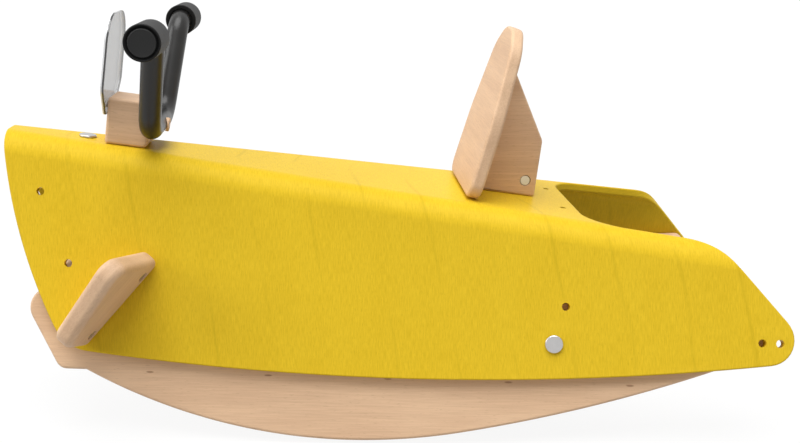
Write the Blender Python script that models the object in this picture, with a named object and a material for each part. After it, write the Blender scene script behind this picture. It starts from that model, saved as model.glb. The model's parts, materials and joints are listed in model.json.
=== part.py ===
"""Rocking motorcycle for a small child: a bent plywood body on two beech rocker boards.

Metres, +Z up. The nose points to -X, the rider's left side is -Y, and the origin is on the
floor under the middle of the body. Every wall-mounted piece is set out on the plane of the
body's own splayed wall, so it follows when the body's width, taper or splay changes.
"""
import math

import bmesh
import bpy
from mathutils import Vector

# Clearances
GAP = 0.0003
HOLE_CLEARANCE = 0.0003

# Body: one sheet bent down along two straight lines that run apart towards the tail
SHEET = 0.008
TOP_HEIGHT = 0.2198
TOP_SLOPE = 0.1460
FLAT_HALF = 0.0586
FLAT_TAPER = 0.144
BEND_RADIUS = 0.026
BEND_STEPS = 7
SPLAY = math.radians(16.2)
SHEET_EDGE = 0.0015

# Body outline, side view: X along the body, Z above the floor
NOSE_X = -0.3520
NOSE_RADIUS = 0.440
CHIN_X = -0.2960
CHIN_Z = 0.0830
CHIN_ROUND = 0.040
SILL_RADIUS = 2.60
TAIL_X = 0.3744
TAIL_Z = 0.0822
TAIL_ROUND = 0.0240
TAIL_SLANT = 0.866
TAIL_TOP_ROUND = 0.045

# Opening in the rear of the top
CUT_X = 0.1790
CUT_MARGIN = 0.0024
CUT_ROUND = 0.038

# Spare mounting holes
SPARE_HOLE = 0.0072
WALL_HOLES = ((-0.3173, 0.2191), (-0.2922, 0.1566), (0.1534, 0.1248), (0.3240, 0.0962), (0.3394, 0.0960))
TOP_HOLE = 0.0060
TOP_HOLE_X = 0.1650
TOP_HOLE_Y = 0.0405

# Clear stretch of the top that is sat on
SEAT_BEHIND_BAR = 0.0300
SEAT_BEFORE_BACK = 0.0100

# Rocker boards
ROCKER_THICK = 0.018
ROCKER_EDGE = 0.0025
ROCKER_RADIUS = 0.580
ROCKER_FRONT_RADIUS = 0.538
ROCKER_MID_X = -0.0370
ROCKER_HEEL_X = 0.0600
ROCKER_HEEL_RADIUS = 1.50
ROCKER_TOE_X = -0.2785
ROCKER_REAR_X = 0.3400
ROCKER_FRONT_TOP_X = -0.3420
ROCKER_FRONT_TOP_Z = 0.1325
ROCKER_REAR_TOP_Z = 0.1235
ROCKER_FRONT_LOW_X = -0.3030
ROCKER_FRONT_LOW_Z = 0.0620

# Foot pegs: boards square to the wall
PEG_X = -0.2727
PEG_Z = 0.1002
PEG_ANGLE = math.radians(47.6)
PEG_THICK = 0.018
PEG_TIP_UP = math.radians(5.0)
PEG_EDGE = 0.0060
PEG_BOLT_PITCH = 0.069
PEG_BELOW_BOLT = 0.015
PEG_ABOVE_BOLT = 0.019
PEG_REACH_LOW = 0.043
PEG_REACH_HIGH = 0.078
PEG_LEAN = 0.0165
PEG_TOE_LEAN = 0.0025
PEG_ROUND = 0.015
PEG_FOOT_ROUND = 0.0070
PEG_NUT_REACH = 0.012

# Fasteners
BOLT_RADIUS = 0.0030
HEAD_RADIUS = 0.0080
HEAD_HEIGHT = 0.0022
HEAD_CHAMFER = 0.0012
HEX_RADIUS = 0.0023
HEX_DEPTH = 0.0014
NUT_RADIUS = 0.0050
SLEEVE_RADIUS = 0.0045

# Rear rocker fixing
REAR_BOLT_X = 0.1421
REAR_BOLT_Z = 0.0929

# Handlebar block
BLOCK_HALF = 0.0225
BLOCK_EDGE = 0.0030
BLOCK_FRONT_X = -0.2620
BLOCK_HEIGHT = 0.0435
BLOCK_REAR_SETBACK = 0.0040
BLOCK_BOLT_FRONT = 0.0100
BLOCK_BOLT_PITCH = 0.0170
INSERT_RADIUS = 0.0045
INSERT_LENGTH = 0.0120

# Handlebar tube and grips
TUBE_RADIUS = 0.0100
TUBE_WALL = 0.0015
BAR_X = -0.2160
BAR_RISE = 0.0220
BAR_LEAN = math.radians(9.1)
BAR_HEIGHT = 0.0894
BAR_FOOT_HALF = 0.0475
BAR_HEAD_HALF = 0.0880
BAR_FOOT_RADIUS = 0.0295
BAR_HEAD_RADIUS = 0.0220
BUTTON_RADIUS = 0.0065
BUTTON_OUT = 0.0019
BUTTON_WRAP = 0.0020
BAR_SCREW_LENGTH = 0.0340
GRIP_RADIUS = 0.0152
GRIP_START = 0.0120
GRIP_LENGTH = 0.0520
GRIP_PAST = 0.0040
GRIP_INNER_HALF = BAR_HEAD_HALF + GRIP_START
BAR_END_HALF = GRIP_INNER_HALF + GRIP_LENGTH - GRIP_PAST
GRIP_ROUND = 0.0016
CAP_RADIUS = 0.0114
CAP_LIP = 0.0012
CAP_PLUG = 0.0080

# Windscreen
SCREEN_THICK = 0.0032
SCREEN_HALF = 0.0470
SCREEN_SHOULDER_HALF = 0.0460
SCREEN_CROWN_HALF = 0.0138
SCREEN_FOOT_HALF = 0.0225
SCREEN_FOOT_UP = 0.0255
SCREEN_SHOULDER_UP = 0.0705
SCREEN_HEIGHT = 0.0927
SCREEN_SEAT = 0.0270
SCREEN_EDGE = 0.0006
SCREEN_CORNER = 0.0120
SCREEN_SHOULDER_RADIUS = 0.0300
SCREEN_SCREW_HALF = 0.0120
SCREEN_SCREW_UP = 0.0075
SCREW_RADIUS = 0.0020
SCREW_HEAD = 0.0038
SCREW_LENGTH = 0.0150

# Backrest
BACK_THICK = 0.0120
BACK_EDGE = 0.0030
BACK_X = 0.0702
BACK_LEAN = math.radians(17.0)
BACK_HEIGHT = 0.1570
BACK_HALF = 0.0690
BACK_HALF_MID = 0.0660
BACK_HALF_HIGH = 0.0450
BACK_MID = 0.0700
BACK_HIGH = 0.1380
BACK_TOP_HALF = 0.0180
BACK_FOOT_ROUND = 0.0150
BRACKET_HALF = 0.0090
BRACKET_EDGE = 0.0020
BRACKET_REAR_X = 0.1434
BRACKET_WAIST_X = 0.1500
BRACKET_WAIST_Z = 0.2540
BRACKET_TOP = 0.1260
BRACKET_NUT_X = 0.1322
BRACKET_NUT_HEIGHT = 0.0150
DOWEL_RADIUS = 0.0040
DOWEL_DEPTH = 0.0080
DOWEL_HEIGHTS = (0.030, 0.080)

# Stiffening block under the nose
NOSE_BLOCK_X = -0.2810
NOSE_BLOCK_HALF_LENGTH = 0.0170
NOSE_BLOCK_HALF_WIDTH = 0.0150
NOSE_BLOCK_HEIGHT = 0.0220
NOSE_BLOCK_EDGE = 0.0020

SEGMENTS = 18


# Materials
def material(name, colour, roughness, metallic=0.0, alpha=1.0):
    mat = bpy.data.materials.new(name)
    mat.use_nodes = True
    shader = mat.node_tree.nodes["Principled BSDF"]
    shader.inputs["Base Color"].default_value = (*colour, 1.0)
    shader.inputs["Roughness"].default_value = roughness
    shader.inputs["Metallic"].default_value = metallic
    shader.inputs["Alpha"].default_value = alpha
    mat.diffuse_color = (*colour, alpha)
    return mat


# Flat outlines: each edge is a list of points, and neighbouring edges share an end
def line(start, end):
    return [start, end]


def arc(start, end, radius, steps=16):
    """Points from start to end on a circle that bulges to the left of the way, or right if negative."""
    sx, sy = start
    ex, ey = end
    chord = math.hypot(ex - sx, ey - sy)
    size = abs(radius)
    side = 1.0 if radius > 0 else -1.0
    reach = math.sqrt(size * size - chord * chord / 4)
    left = (-(ey - sy) / chord, (ex - sx) / chord)
    cx = (sx + ex) / 2 - side * left[0] * reach
    cy = (sy + ey) / 2 - side * left[1] * reach
    first = math.atan2(sy - cy, sx - cx)
    sweep = 2 * math.asin(chord / 2 / size)
    turns = [first - side * sweep * k / steps for k in range(steps + 1)]
    return [(cx + size * math.cos(t), cy + size * math.sin(t)) for t in turns]


def trim(edge, length, from_end):
    """Cut a length off one end of an edge and give the edge, its new end and its direction there."""
    points = list(reversed(edge)) if from_end else list(edge)
    left = length
    while len(points) > 2 and left > math.dist(points[0], points[1]):
        left -= math.dist(points[0], points[1])
        points.pop(0)
    span = math.dist(points[0], points[1])
    share = min(left / span, 0.98)
    start = tuple(a + (b - a) * share for a, b in zip(points[0], points[1]))
    heading = tuple((b - a) / span for a, b in zip(points[0], points[1]))
    points[0] = start
    if from_end:
        points.reverse()
    return points, start, heading


def outline(edges, rounds, steps=6):
    """One closed loop from edges, with the corner after each edge rounded to a radius."""
    edges = [list(edge) for edge in edges]
    corners = []
    for index, radius in enumerate(rounds):
        after = (index + 1) % len(edges)
        if radius <= 0:
            corners.append([])
            continue
        one, two = edges[index], edges[after]
        a = Vector(one[-1]) - Vector(one[-2])
        b = Vector(two[1]) - Vector(two[0])
        turn = a.angle(b)
        cut_length = radius * math.tan(turn / 2)
        edges[index], p0, back = trim(one, cut_length, True)
        edges[after], p3, ahead = trim(two, cut_length, False)
        handle = 4 / 3 * math.tan(turn / 4) * radius
        p1 = (p0[0] - back[0] * handle, p0[1] - back[1] * handle)
        p2 = (p3[0] - ahead[0] * handle, p3[1] - ahead[1] * handle)
        curve = []
        for k in range(1, steps):
            t = k / steps
            s = 1 - t
            weights = (s ** 3, 3 * s * s * t, 3 * s * t * t, t ** 3)
            x = sum(w * p[0] for w, p in zip(weights, (p0, p1, p2, p3)))
            y = sum(w * p[1] for w, p in zip(weights, (p0, p1, p2, p3)))
            curve.append((x, y))
        corners.append(curve)
    loop = []
    for edge, corner in zip(edges, corners):
        loop += edge + corner
    clean = []
    for point in loop:
        if not clean or math.dist(point, clean[-1]) > 0.00005:
            clean.append(point)
    if math.dist(clean[0], clean[-1]) < 0.00005:
        clean.pop()
    return clean


def area(loop):
    return sum(a[0] * b[1] - b[0] * a[1] for a, b in zip(loop, loop[1:] + loop[:1])) / 2


def inset(loop, distance):
    """Move each point of a loop inwards by a distance."""
    sense = 1.0 if area(loop) > 0 else -1.0
    moved = []
    for index, point in enumerate(loop):
        before, after = loop[index - 1], loop[(index + 1) % len(loop)]
        a = (Vector(point) - Vector(before)).normalized()
        b = (Vector(after) - Vector(point)).normalized()
        na = Vector((-a.y, a.x)) * sense
        nb = Vector((-b.y, b.x)) * sense
        mitre = (na + nb) / (1 + na.dot(nb))
        moved.append((point[0] + mitre.x * distance, point[1] + mitre.y * distance))
    return moved


# Solids
def finish(name, bm, mat, smooth_angle=35.0):
    bmesh.ops.recalc_face_normals(bm, faces=bm.faces)
    mesh = bpy.data.meshes.new(name)
    bm.to_mesh(mesh)
    bm.free()
    mesh.shade_smooth()
    mesh.set_sharp_from_angle(angle=math.radians(smooth_angle))
    mesh.materials.append(mat)
    obj = bpy.data.objects.new(name, mesh)
    bpy.context.scene.collection.objects.link(obj)
    return obj


def board_mesh(loop, thickness, edge, place, steps=3):
    """A board of one thickness with rounded arrises; place turns (u, v, depth) into a point."""
    rings = []
    for k in range(steps + 1):
        turn = math.pi / 2 * k / steps
        rings.append((edge * (1 - math.sin(turn)), edge * (1 - math.cos(turn))))
    rings += [(back, thickness - deep) for back, deep in reversed(rings)]
    bm = bmesh.new()
    layers = []
    for back, deep in rings:
        layers.append([bm.verts.new(place(u, v, deep)) for u, v in inset(loop, back)])
    for one, two in zip(layers, layers[1:]):
        for index in range(len(one)):
            after = (index + 1) % len(one)
            bm.faces.new((one[index], one[after], two[after], two[index]))
    bm.faces.new(list(reversed(layers[0])))
    bm.faces.new(layers[-1])
    return bm


def basis(axis):
    axis = axis.normalized()
    side = axis.cross(Vector((0, 0, 1)))
    if side.length < 0.1:
        side = axis.cross(Vector((0, 1, 0)))
    side.normalize()
    return axis, side, axis.cross(side)


def turned_mesh(profile, base, axis, segments=SEGMENTS):
    """A solid of revolution: profile is (radius, height) from the base along the axis."""
    axis, side, up = basis(axis)
    bm = bmesh.new()
    rows = []
    for radius, height in profile:
        centre = base + axis * height
        if radius < 1e-7:
            rows.append([bm.verts.new(centre)])
            continue
        ring = []
        for k in range(segments):
            turn = math.tau * k / segments
            ring.append(bm.verts.new(centre + (side * math.cos(turn) + up * math.sin(turn)) * radius))
        rows.append(ring)
    for one, two in zip(rows, rows[1:]):
        for k in range(segments):
            after = (k + 1) % segments
            if len(one) == 1:
                bm.faces.new((one[0], two[after], two[k]))
            elif len(two) == 1:
                bm.faces.new((one[k], one[after], two[0]))
            else:
                bm.faces.new((one[k], one[after], two[after], two[k]))
    if len(rows[0]) > 1:
        bm.faces.new(list(reversed(rows[0])))
    if len(rows[-1]) > 1:
        bm.faces.new(rows[-1])
    return bm


def rod(start, end, radius, segments=SEGMENTS):
    return turned_mesh([(radius, 0.0), (radius, (end - start).length)], start, end - start, segments)


def merged(meshes):
    """Several separate closed meshes in one bmesh."""
    whole = bmesh.new()
    for bm in meshes:
        bmesh.ops.recalc_face_normals(bm, faces=bm.faces)
        part = bpy.data.meshes.new("part")
        bm.to_mesh(part)
        bm.free()
        whole.from_mesh(part)
        bpy.data.meshes.remove(part)
    return whole


def cut(obj, name, meshes, operation="DIFFERENCE"):
    cutter = finish(name, merged(meshes), obj.data.materials[0])
    cutter.hide_render = True
    cutter.display_type = "WIRE"
    modifier = obj.modifiers.new(name, "BOOLEAN")
    modifier.operation = operation
    modifier.object = cutter
    return cutter


# The body's surfaces
def top_z(x):
    return TOP_HEIGHT - TOP_SLOPE * x


def flat_half(x):
    return FLAT_HALF + FLAT_TAPER * x


BEND_TURN = math.pi / 2 - SPLAY
BEND_LENGTH = BEND_RADIUS * BEND_TURN
BEND_DROP = BEND_RADIUS * (1 - math.cos(BEND_TURN))
BEND_REACH = BEND_RADIUS * math.sin(BEND_TURN)


def wall_half(x, z):
    """Half width of the body's outer wall face at a point of its side view."""
    return flat_half(x) + BEND_REACH + (top_z(x) - BEND_DROP - z) * math.tan(SPLAY)


def run_of(x, z):
    """Distance along a cross-section of the outer face, from the middle line down to height z."""
    drop = top_z(x) - z
    if drop <= BEND_DROP:
        return flat_half(x) + BEND_RADIUS * math.acos(max(-1.0, 1 - drop / BEND_RADIUS))
    return flat_half(x) + BEND_LENGTH + (drop - BEND_DROP) / math.cos(SPLAY)


def sheet_point(x, run, depth):
    """The sheet's point at station x, at a run across the section and a depth below its outer face."""
    side = 1.0 if run >= 0 else -1.0
    across = abs(run)
    edge = flat_half(x)
    if across <= edge:
        return Vector((x, run, top_z(x) - depth))
    turn = min((across - edge) / BEND_RADIUS, BEND_TURN)
    beyond = max(0.0, across - edge - BEND_LENGTH)
    reach = BEND_RADIUS - depth
    y = edge + reach * math.sin(turn) + beyond * math.sin(SPLAY)
    z = top_z(x) - BEND_RADIUS + reach * math.cos(turn) - beyond * math.cos(SPLAY)
    return Vector((x, side * y, z))


def wall_normal():
    """Unit normal of the left wall, pointing into the body."""
    a = Vector((0, -wall_half(0, 0), 0))
    b = Vector((1, -wall_half(1, 0), 0))
    c = Vector((0, -wall_half(0, 1), 1))
    normal = (b - a).cross(c - a).normalized()
    return normal if normal.y > 0 else -normal


NORMAL = wall_normal()
MIRROR = Vector((1, -1, 1))


def wall_point(x, z, depth):
    """The point with side-view place (x, z) on the plane a depth inside the left wall's outer face."""
    face = Vector((x, -wall_half(x, z), z))
    return face + Vector((0, depth / NORMAL.y, 0))


def mirrored(point, side):
    return point if side < 0 else point * MIRROR


def on_wall(side, depth):
    """Placing function for an outline drawn in side view and built inwards from a depth."""
    def place(x, z, deeper):
        return mirrored(wall_point(x, z, depth) + NORMAL * deeper, side)
    return place


def in_line(x, z):
    """Where the wall's own axis through the outer point (x, z) comes out, deeper in the wall."""
    return wall_point(x, z, 0.0)


INSIDE_WALL = SHEET + GAP
INSIDE_ROCKER = INSIDE_WALL + ROCKER_THICK
SIDES = (("left", -1), ("right", 1))


# Materials of the pieces
def make_materials():
    return {
        "yellow": material("yellow_ply", (0.74, 0.50, 0.035), 0.38),
        "beech": material("beech", (0.66, 0.45, 0.28), 0.55),
        "steel": material("bright_steel", (0.62, 0.60, 0.58), 0.25, 1.0),
        "brass": material("plated_steel", (0.55, 0.52, 0.44), 0.35, 1.0),
        "black": material("black_enamel", (0.03, 0.028, 0.028), 0.35),
        "rubber": material("black_rubber", (0.022, 0.022, 0.022), 0.7),
        "clear": material("clear_acrylic", (0.78, 0.79, 0.80), 0.08, 0.0, 0.35),
    }


# Body
def wall_edges():
    """Edges of one wall in the sheet's own measure: station and run."""
    chin = (CHIN_X, CHIN_Z)
    tail = (TAIL_X, TAIL_Z)
    nose_top = (NOSE_X, top_z(NOSE_X) - 0.0001)
    slant_top_x = TAIL_X
    for _ in range(20):
        slant_top_x = TAIL_X - TAIL_SLANT * (top_z(slant_top_x) - TAIL_Z)
    slant_top = (slant_top_x, top_z(slant_top_x) - 0.0001)
    front = arc(nose_top, chin, -NOSE_RADIUS, 10)
    sill = arc(chin, tail, -SILL_RADIUS, 14)
    slant = [tuple(a + (b - a) * k / 24 for a, b in zip(tail, slant_top)) for k in range(25)]
    return [[(x, run_of(x, z)) for x, z in edge] for edge in (front, sill, slant)]


def body_outline():
    front, sill, slant = wall_edges()
    wing_x = slant[-1][0]
    wing = (wing_x, flat_half(wing_x) + CUT_MARGIN)
    shoulder = (CUT_X, flat_half(CUT_X) + CUT_MARGIN)
    slant = [point for point in slant if point[1] > wing[1]] + [wing]
    half = [front, sill, slant, line(wing, shoulder)]
    flip = [[(x, -run) for x, run in reversed(edge)] for edge in reversed(half)]
    nose = line((front[0][0], -front[0][1]), front[0])
    cross = line(shoulder, (shoulder[0], -shoulder[1]))
    edges = [nose] + half + [cross] + flip
    rounds = [0.0, CHIN_ROUND, TAIL_ROUND, TAIL_TOP_ROUND, CUT_ROUND,
              CUT_ROUND, TAIL_TOP_ROUND, TAIL_ROUND, CHIN_ROUND, 0.0]
    return outline(edges, rounds)


def seat_stations():
    """Front and rear ends of the clear stretch of the top, between the handlebar and the backrest."""
    return (BAR_X + SEAT_BEHIND_BAR, BACK_X - SEAT_BEFORE_BACK)


def make_body(mats):
    bm = board_mesh(body_outline(), SHEET, SHEET_EDGE, lambda x, run, depth: Vector((x, run, depth)), 2)
    for side in (-1, 1):
        for k in range(BEND_STEPS + 1):
            run = FLAT_HALF + BEND_LENGTH * k / BEND_STEPS
            everything = bm.verts[:] + bm.edges[:] + bm.faces[:]
            bmesh.ops.bisect_plane(bm, geom=everything, dist=1e-7, plane_co=(0, side * run, 0),
                                   plane_no=(-FLAT_TAPER, side, 0))
    for x in seat_stations():
        everything = bm.verts[:] + bm.edges[:] + bm.faces[:]
        bmesh.ops.bisect_plane(bm, geom=everything, dist=1e-7, plane_co=(x, 0, 0), plane_no=(1, 0, 0))
    for vert in bm.verts:
        vert.co = sheet_point(*vert.co)
    body = finish("body_shell", bm, mats["yellow"])
    holes = []
    for side_name, side in SIDES:
        for x, z in WALL_HOLES:
            holes.append(wall_rod(x, z, -0.004, SHEET + 0.004, SPARE_HOLE / 2, side))
        holes.append(wall_rod(REAR_BOLT_X, REAR_BOLT_Z, -0.004, SHEET + 0.004,
                              SLEEVE_RADIUS + HOLE_CLEARANCE, side))
        for x, z in peg_bolt_places():
            holes.append(wall_rod(x, z, -0.004, SHEET + 0.004, BOLT_RADIUS + HOLE_CLEARANCE, side))
        holes.append(top_rod(TOP_HOLE_X, side * TOP_HOLE_Y, TOP_HOLE / 2))
    clear = BOLT_RADIUS + HOLE_CLEARANCE
    holes.append(top_rod(NOSE_BLOCK_X, 0.0, SLEEVE_RADIUS + HOLE_CLEARANCE))
    for x in block_bolt_stations():
        holes.append(top_rod(x, 0.0, clear))
    holes.append(top_rod(BRACKET_NUT_X, 0.0, clear))
    cut(body, "cutter_body_holes", holes)
    return body


# Directions square to the top
TOP_UP = Vector((TOP_SLOPE, 0, 1)).normalized()
TOP_ALONG = Vector((1, 0, -TOP_SLOPE)).normalized()


def top_point(x, y, height):
    """A point a height above the top face, square to it, from station x."""
    return Vector((x, y, top_z(x))) + TOP_UP * height


def under_top(x):
    """Just below the sheet's underside, square in from the top face at station x."""
    return top_point(x, 0.0, -SHEET * TOP_UP.z - GAP)


def top_rod(x, y, radius, low=-0.014, high=0.006):
    return rod(top_point(x, y, low), top_point(x, y, high), radius)


def wall_rod(x, z, start, end, radius, side):
    base = in_line(x, z)
    a = mirrored(base + NORMAL * start, side)
    b = mirrored(base + NORMAL * end, side)
    return rod(a, b, radius)


# Rocker boards
def rocker_base_z():
    """Height of the outer face's lowest point, for the rounded inner arris to touch the floor."""
    return (ROCKER_THICK - ROCKER_EDGE) * -NORMAL.z


def rocker_outline():
    base = rocker_base_z()
    heel_turn = math.asin((ROCKER_HEEL_X - ROCKER_MID_X) / ROCKER_RADIUS)
    toe_turn = math.asin((ROCKER_TOE_X - ROCKER_MID_X) / ROCKER_FRONT_RADIUS)

    def on_arc(turn, radius=ROCKER_RADIUS):
        return (ROCKER_MID_X + radius * math.sin(turn), base + radius * (1 - math.cos(turn)))

    run = [on_arc(toe_turn * (1 - k / 18), ROCKER_FRONT_RADIUS) for k in range(18)]
    run += [on_arc(heel_turn * k / 10) for k in range(11)]
    heel = on_arc(heel_turn)
    far_x = heel[0] - ROCKER_HEEL_RADIUS * math.sin(heel_turn)
    far_z = heel[1] + ROCKER_HEEL_RADIUS * math.cos(heel_turn)
    last_turn = math.asin((ROCKER_REAR_X - far_x) / ROCKER_HEEL_RADIUS)
    for k in range(1, 13):
        turn = heel_turn + (last_turn - heel_turn) * k / 12
        run.append((far_x + ROCKER_HEEL_RADIUS * math.sin(turn), far_z - ROCKER_HEEL_RADIUS * math.cos(turn)))
    toe = run[0]
    rear_low = run[-1]
    rear_top = (ROCKER_REAR_X, ROCKER_REAR_TOP_Z)
    front_top = (ROCKER_FRONT_TOP_X, ROCKER_FRONT_TOP_Z)
    front_low = (ROCKER_FRONT_LOW_X, ROCKER_FRONT_LOW_Z)
    edges = [run, line(rear_low, rear_top), line(rear_top, front_top),
             line(front_top, front_low), line(front_low, toe)]
    return outline(edges, [0.011, 0.011, 0.0170, 0.0110, 0.0040])


def make_rocker(side_name, side, mats):
    bm = board_mesh(rocker_outline(), ROCKER_THICK, ROCKER_EDGE, on_wall(side, INSIDE_WALL))
    rocker = finish("rocker_" + side_name, bm, mats["beech"])
    deep = INSIDE_ROCKER + 0.004
    low_x, low_z = peg_bolt_places()[0]
    holes = [wall_rod(low_x, low_z, 0.004, deep, BOLT_RADIUS + HOLE_CLEARANCE, side),
             wall_rod(REAR_BOLT_X, REAR_BOLT_Z, 0.004, deep, SLEEVE_RADIUS + HOLE_CLEARANCE, side)]
    cut(rocker, "cutter_rocker_" + side_name, holes)


# Foot pegs
def peg_axis():
    """Direction along a peg in the left wall's plane."""
    across = math.cos(PEG_ANGLE)
    rise = math.sin(PEG_ANGLE)
    return Vector((across, -(NORMAL.x * across + NORMAL.z * rise) / NORMAL.y, rise)).normalized()


def peg_bolt_places():
    """Side-view places of the two peg bolts, the lower one first."""
    axis = peg_axis()
    return ((PEG_X, PEG_Z), (PEG_X + axis.x * PEG_BOLT_PITCH, PEG_Z + axis.z * PEG_BOLT_PITCH))


def peg_outline():
    low = -PEG_BELOW_BOLT
    high = PEG_BOLT_PITCH + PEG_ABOVE_BOLT
    corners = [(low, 0.0), (high, 0.0), (high - PEG_LEAN, PEG_REACH_HIGH),
               (low - PEG_TOE_LEAN, PEG_REACH_LOW)]
    edges = [line(a, b) for a, b in zip(corners, corners[1:] + corners[:1])]
    return outline(edges, [PEG_FOOT_ROUND, PEG_ROUND, PEG_ROUND, PEG_FOOT_ROUND])


def make_peg(side_name, side, mats):
    along = peg_axis()
    across = along.cross(NORMAL).normalized()
    origin = in_line(PEG_X, PEG_Z) - NORMAL * GAP

    def place(u, v, depth):
        rise = across * (depth - PEG_THICK / 2 + v * math.tan(PEG_TIP_UP))
        return mirrored(origin + along * u - NORMAL * v + rise, side)

    peg = finish("foot_peg_" + side_name, board_mesh(peg_outline(), PEG_THICK, PEG_EDGE, place), mats["beech"])
    nut_reach = PEG_NUT_REACH + GAP
    nut_holes = []
    bolt_holes = []
    starts = (INSIDE_ROCKER, SHEET)
    for index, (x, z) in enumerate(peg_bolt_places()):
        foot = in_line(x, z)
        centre = foot - NORMAL * nut_reach + across * nut_reach * math.tan(PEG_TIP_UP)
        half = across * (PEG_THICK / 2 - 0.0010)
        nut_holes.append(rod(mirrored(centre - across * PEG_THICK, side),
                             mirrored(centre + across * PEG_THICK, side), NUT_RADIUS + HOLE_CLEARANCE))
        tip = nut_reach + NUT_RADIUS + 0.004
        bolt_holes.append(wall_rod(x, z, 0.004, -tip, BOLT_RADIUS + HOLE_CLEARANCE, side))
        label = side_name + "_" + ("lower", "upper")[index]
        seat = starts[index] + GAP
        bolt = socket_bolt(mirrored(foot + NORMAL * seat, side), mirrored(NORMAL, side),
                           seat + nut_reach + NUT_RADIUS * 0.6)
        finish("peg_bolt_" + label, bolt, mats["steel"])
        nut = finish("peg_nut_" + label, rod(mirrored(centre - half, side), mirrored(centre + half, side),
                                             NUT_RADIUS), mats["brass"])
        cut(nut, "cutter_peg_nut_" + label, [wall_rod(x, z, 0.004, -0.030, BOLT_RADIUS + HOLE_CLEARANCE, side)])
    cut(peg, "cutter_peg_nut_holes_" + side_name, nut_holes)
    cut(peg, "cutter_peg_bolt_holes_" + side_name, bolt_holes)


# Fasteners
def head_profile(radius, height, chamfer):
    return [(radius - chamfer * 0.4, 0.0), (radius, chamfer * 0.4), (radius, height - chamfer),
            (radius - chamfer, height)]


def socket_bolt(seat, outward, length):
    """A bolt whose head stands on seat; outward points from its shank to its head."""
    outward = outward.normalized()
    profile = [(0.0, -length), (BOLT_RADIUS - 0.0006, -length), (BOLT_RADIUS, -length + 0.0006),
               (BOLT_RADIUS, 0.0)]
    profile += head_profile(HEAD_RADIUS, HEAD_HEIGHT, HEAD_CHAMFER)
    profile += [(HEX_RADIUS, HEAD_HEIGHT), (HEX_RADIUS, HEAD_HEIGHT - HEX_DEPTH),
                (0.0, HEAD_HEIGHT - HEX_DEPTH)]
    return turned_mesh(profile, seat, outward)


def sleeve_nut(seat, outward, length):
    """A plain flat cap on a sleeve that takes a bolt from the other side."""
    profile = [(0.0, -length), (SLEEVE_RADIUS, -length), (SLEEVE_RADIUS, 0.0)]
    profile += head_profile(HEAD_RADIUS, HEAD_HEIGHT, HEAD_CHAMFER)
    profile += [(0.0, HEAD_HEIGHT)]
    return turned_mesh(profile, seat, outward.normalized())


def make_rear_fixing(side_name, side, mats):
    foot = in_line(REAR_BOLT_X, REAR_BOLT_Z)
    out = -NORMAL
    length = INSIDE_ROCKER - 0.003
    mesh = sleeve_nut(mirrored(foot + out * GAP, side), mirrored(out, side), length)
    nut = finish("rear_cap_nut_" + side_name, mesh, mats["steel"])
    inner = mirrored(foot + NORMAL * 0.004, side)
    outer = mirrored(foot + NORMAL * (length + 0.010), side)
    cut(nut, "cutter_rear_nut_" + side_name, [rod(inner, outer, BOLT_RADIUS + HOLE_CLEARANCE)])
    seat = mirrored(foot + NORMAL * (INSIDE_ROCKER + GAP), side)
    finish("rear_bolt_" + side_name, socket_bolt(seat, mirrored(NORMAL, side), 0.018), mats["steel"])


# Handlebar block
def block_bolt_stations():
    first = BLOCK_FRONT_X + BLOCK_BOLT_FRONT
    return (first, first + BLOCK_BOLT_PITCH)


def bar_foot():
    """Middle of the tube where it passes through the block."""
    return Vector((BAR_X, 0, top_z(BAR_X) + BAR_RISE))


def block_outline():
    """The block's side, as distance along the top and height above it; its rear lets in half the tube."""
    along = top_measure(bar_foot())[0]
    front = top_measure(top_point(BLOCK_FRONT_X, 0.0, 0.0))[0]
    rear = along - BLOCK_REAR_SETBACK
    corners = [(front, GAP), (rear, GAP), (rear, BLOCK_HEIGHT), (front, BLOCK_HEIGHT)]
    edges = [line(a, b) for a, b in zip(corners, corners[1:] + corners[:1])]
    return outline(edges, [0.005, 0.004, 0.003, 0.003])


def top_measure(point):
    offset = point - Vector((0, 0, top_z(0)))
    return offset.dot(TOP_ALONG), offset.dot(TOP_UP)


def on_top(along, height, y):
    return Vector((0, y, top_z(0))) + TOP_ALONG * along + TOP_UP * height


def make_block(mats):
    def place(along, height, depth):
        return on_top(along, height, BLOCK_HALF - depth)

    bm = board_mesh(block_outline(), 2 * BLOCK_HALF, BLOCK_EDGE, place)
    block = finish("handlebar_block", bm, mats["beech"])
    foot = bar_foot()
    reach = Vector((0, BLOCK_HALF + 0.010, 0))
    holes = [rod(foot - reach, foot + reach, TUBE_RADIUS + HOLE_CLEARANCE, 32)]
    for x in block_bolt_stations():
        holes.append(rod(top_point(x, 0, -0.004), top_point(x, 0, INSERT_LENGTH + 2 * GAP),
                         INSERT_RADIUS + HOLE_CLEARANCE))
    holes += screen_screw_holes()
    cut(block, "cutter_block", holes)
    for label, x in zip(("front", "rear"), block_bolt_stations()):
        base = top_point(x, 0, GAP)
        insert = tube_mesh(base, TOP_UP, INSERT_LENGTH, INSERT_RADIUS, BOLT_RADIUS + HOLE_CLEARANCE)
        finish("block_insert_" + label, insert, mats["brass"])
        bolt = socket_bolt(under_top(x), -TOP_UP, SHEET + INSERT_LENGTH - 0.001)
        finish("block_bolt_" + label, bolt, mats["steel"])


def tube_mesh(base, axis, length, outer, inner, segments=SEGMENTS):
    """A straight open tube."""
    axis, side, up = basis(axis)
    bm = bmesh.new()
    rings = []
    for radius, height in ((outer, 0.0), (outer, length), (inner, length), (inner, 0.0)):
        ring = []
        for k in range(segments):
            turn = math.tau * k / segments
            offset = (side * math.cos(turn) + up * math.sin(turn)) * radius
            ring.append(bm.verts.new(base + axis * height + offset))
        rings.append(ring)
    for one, two in zip(rings, rings[1:] + rings[:1]):
        for k in range(segments):
            after = (k + 1) % segments
            bm.faces.new((one[k], one[after], two[after], two[k]))
    return bm


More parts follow.
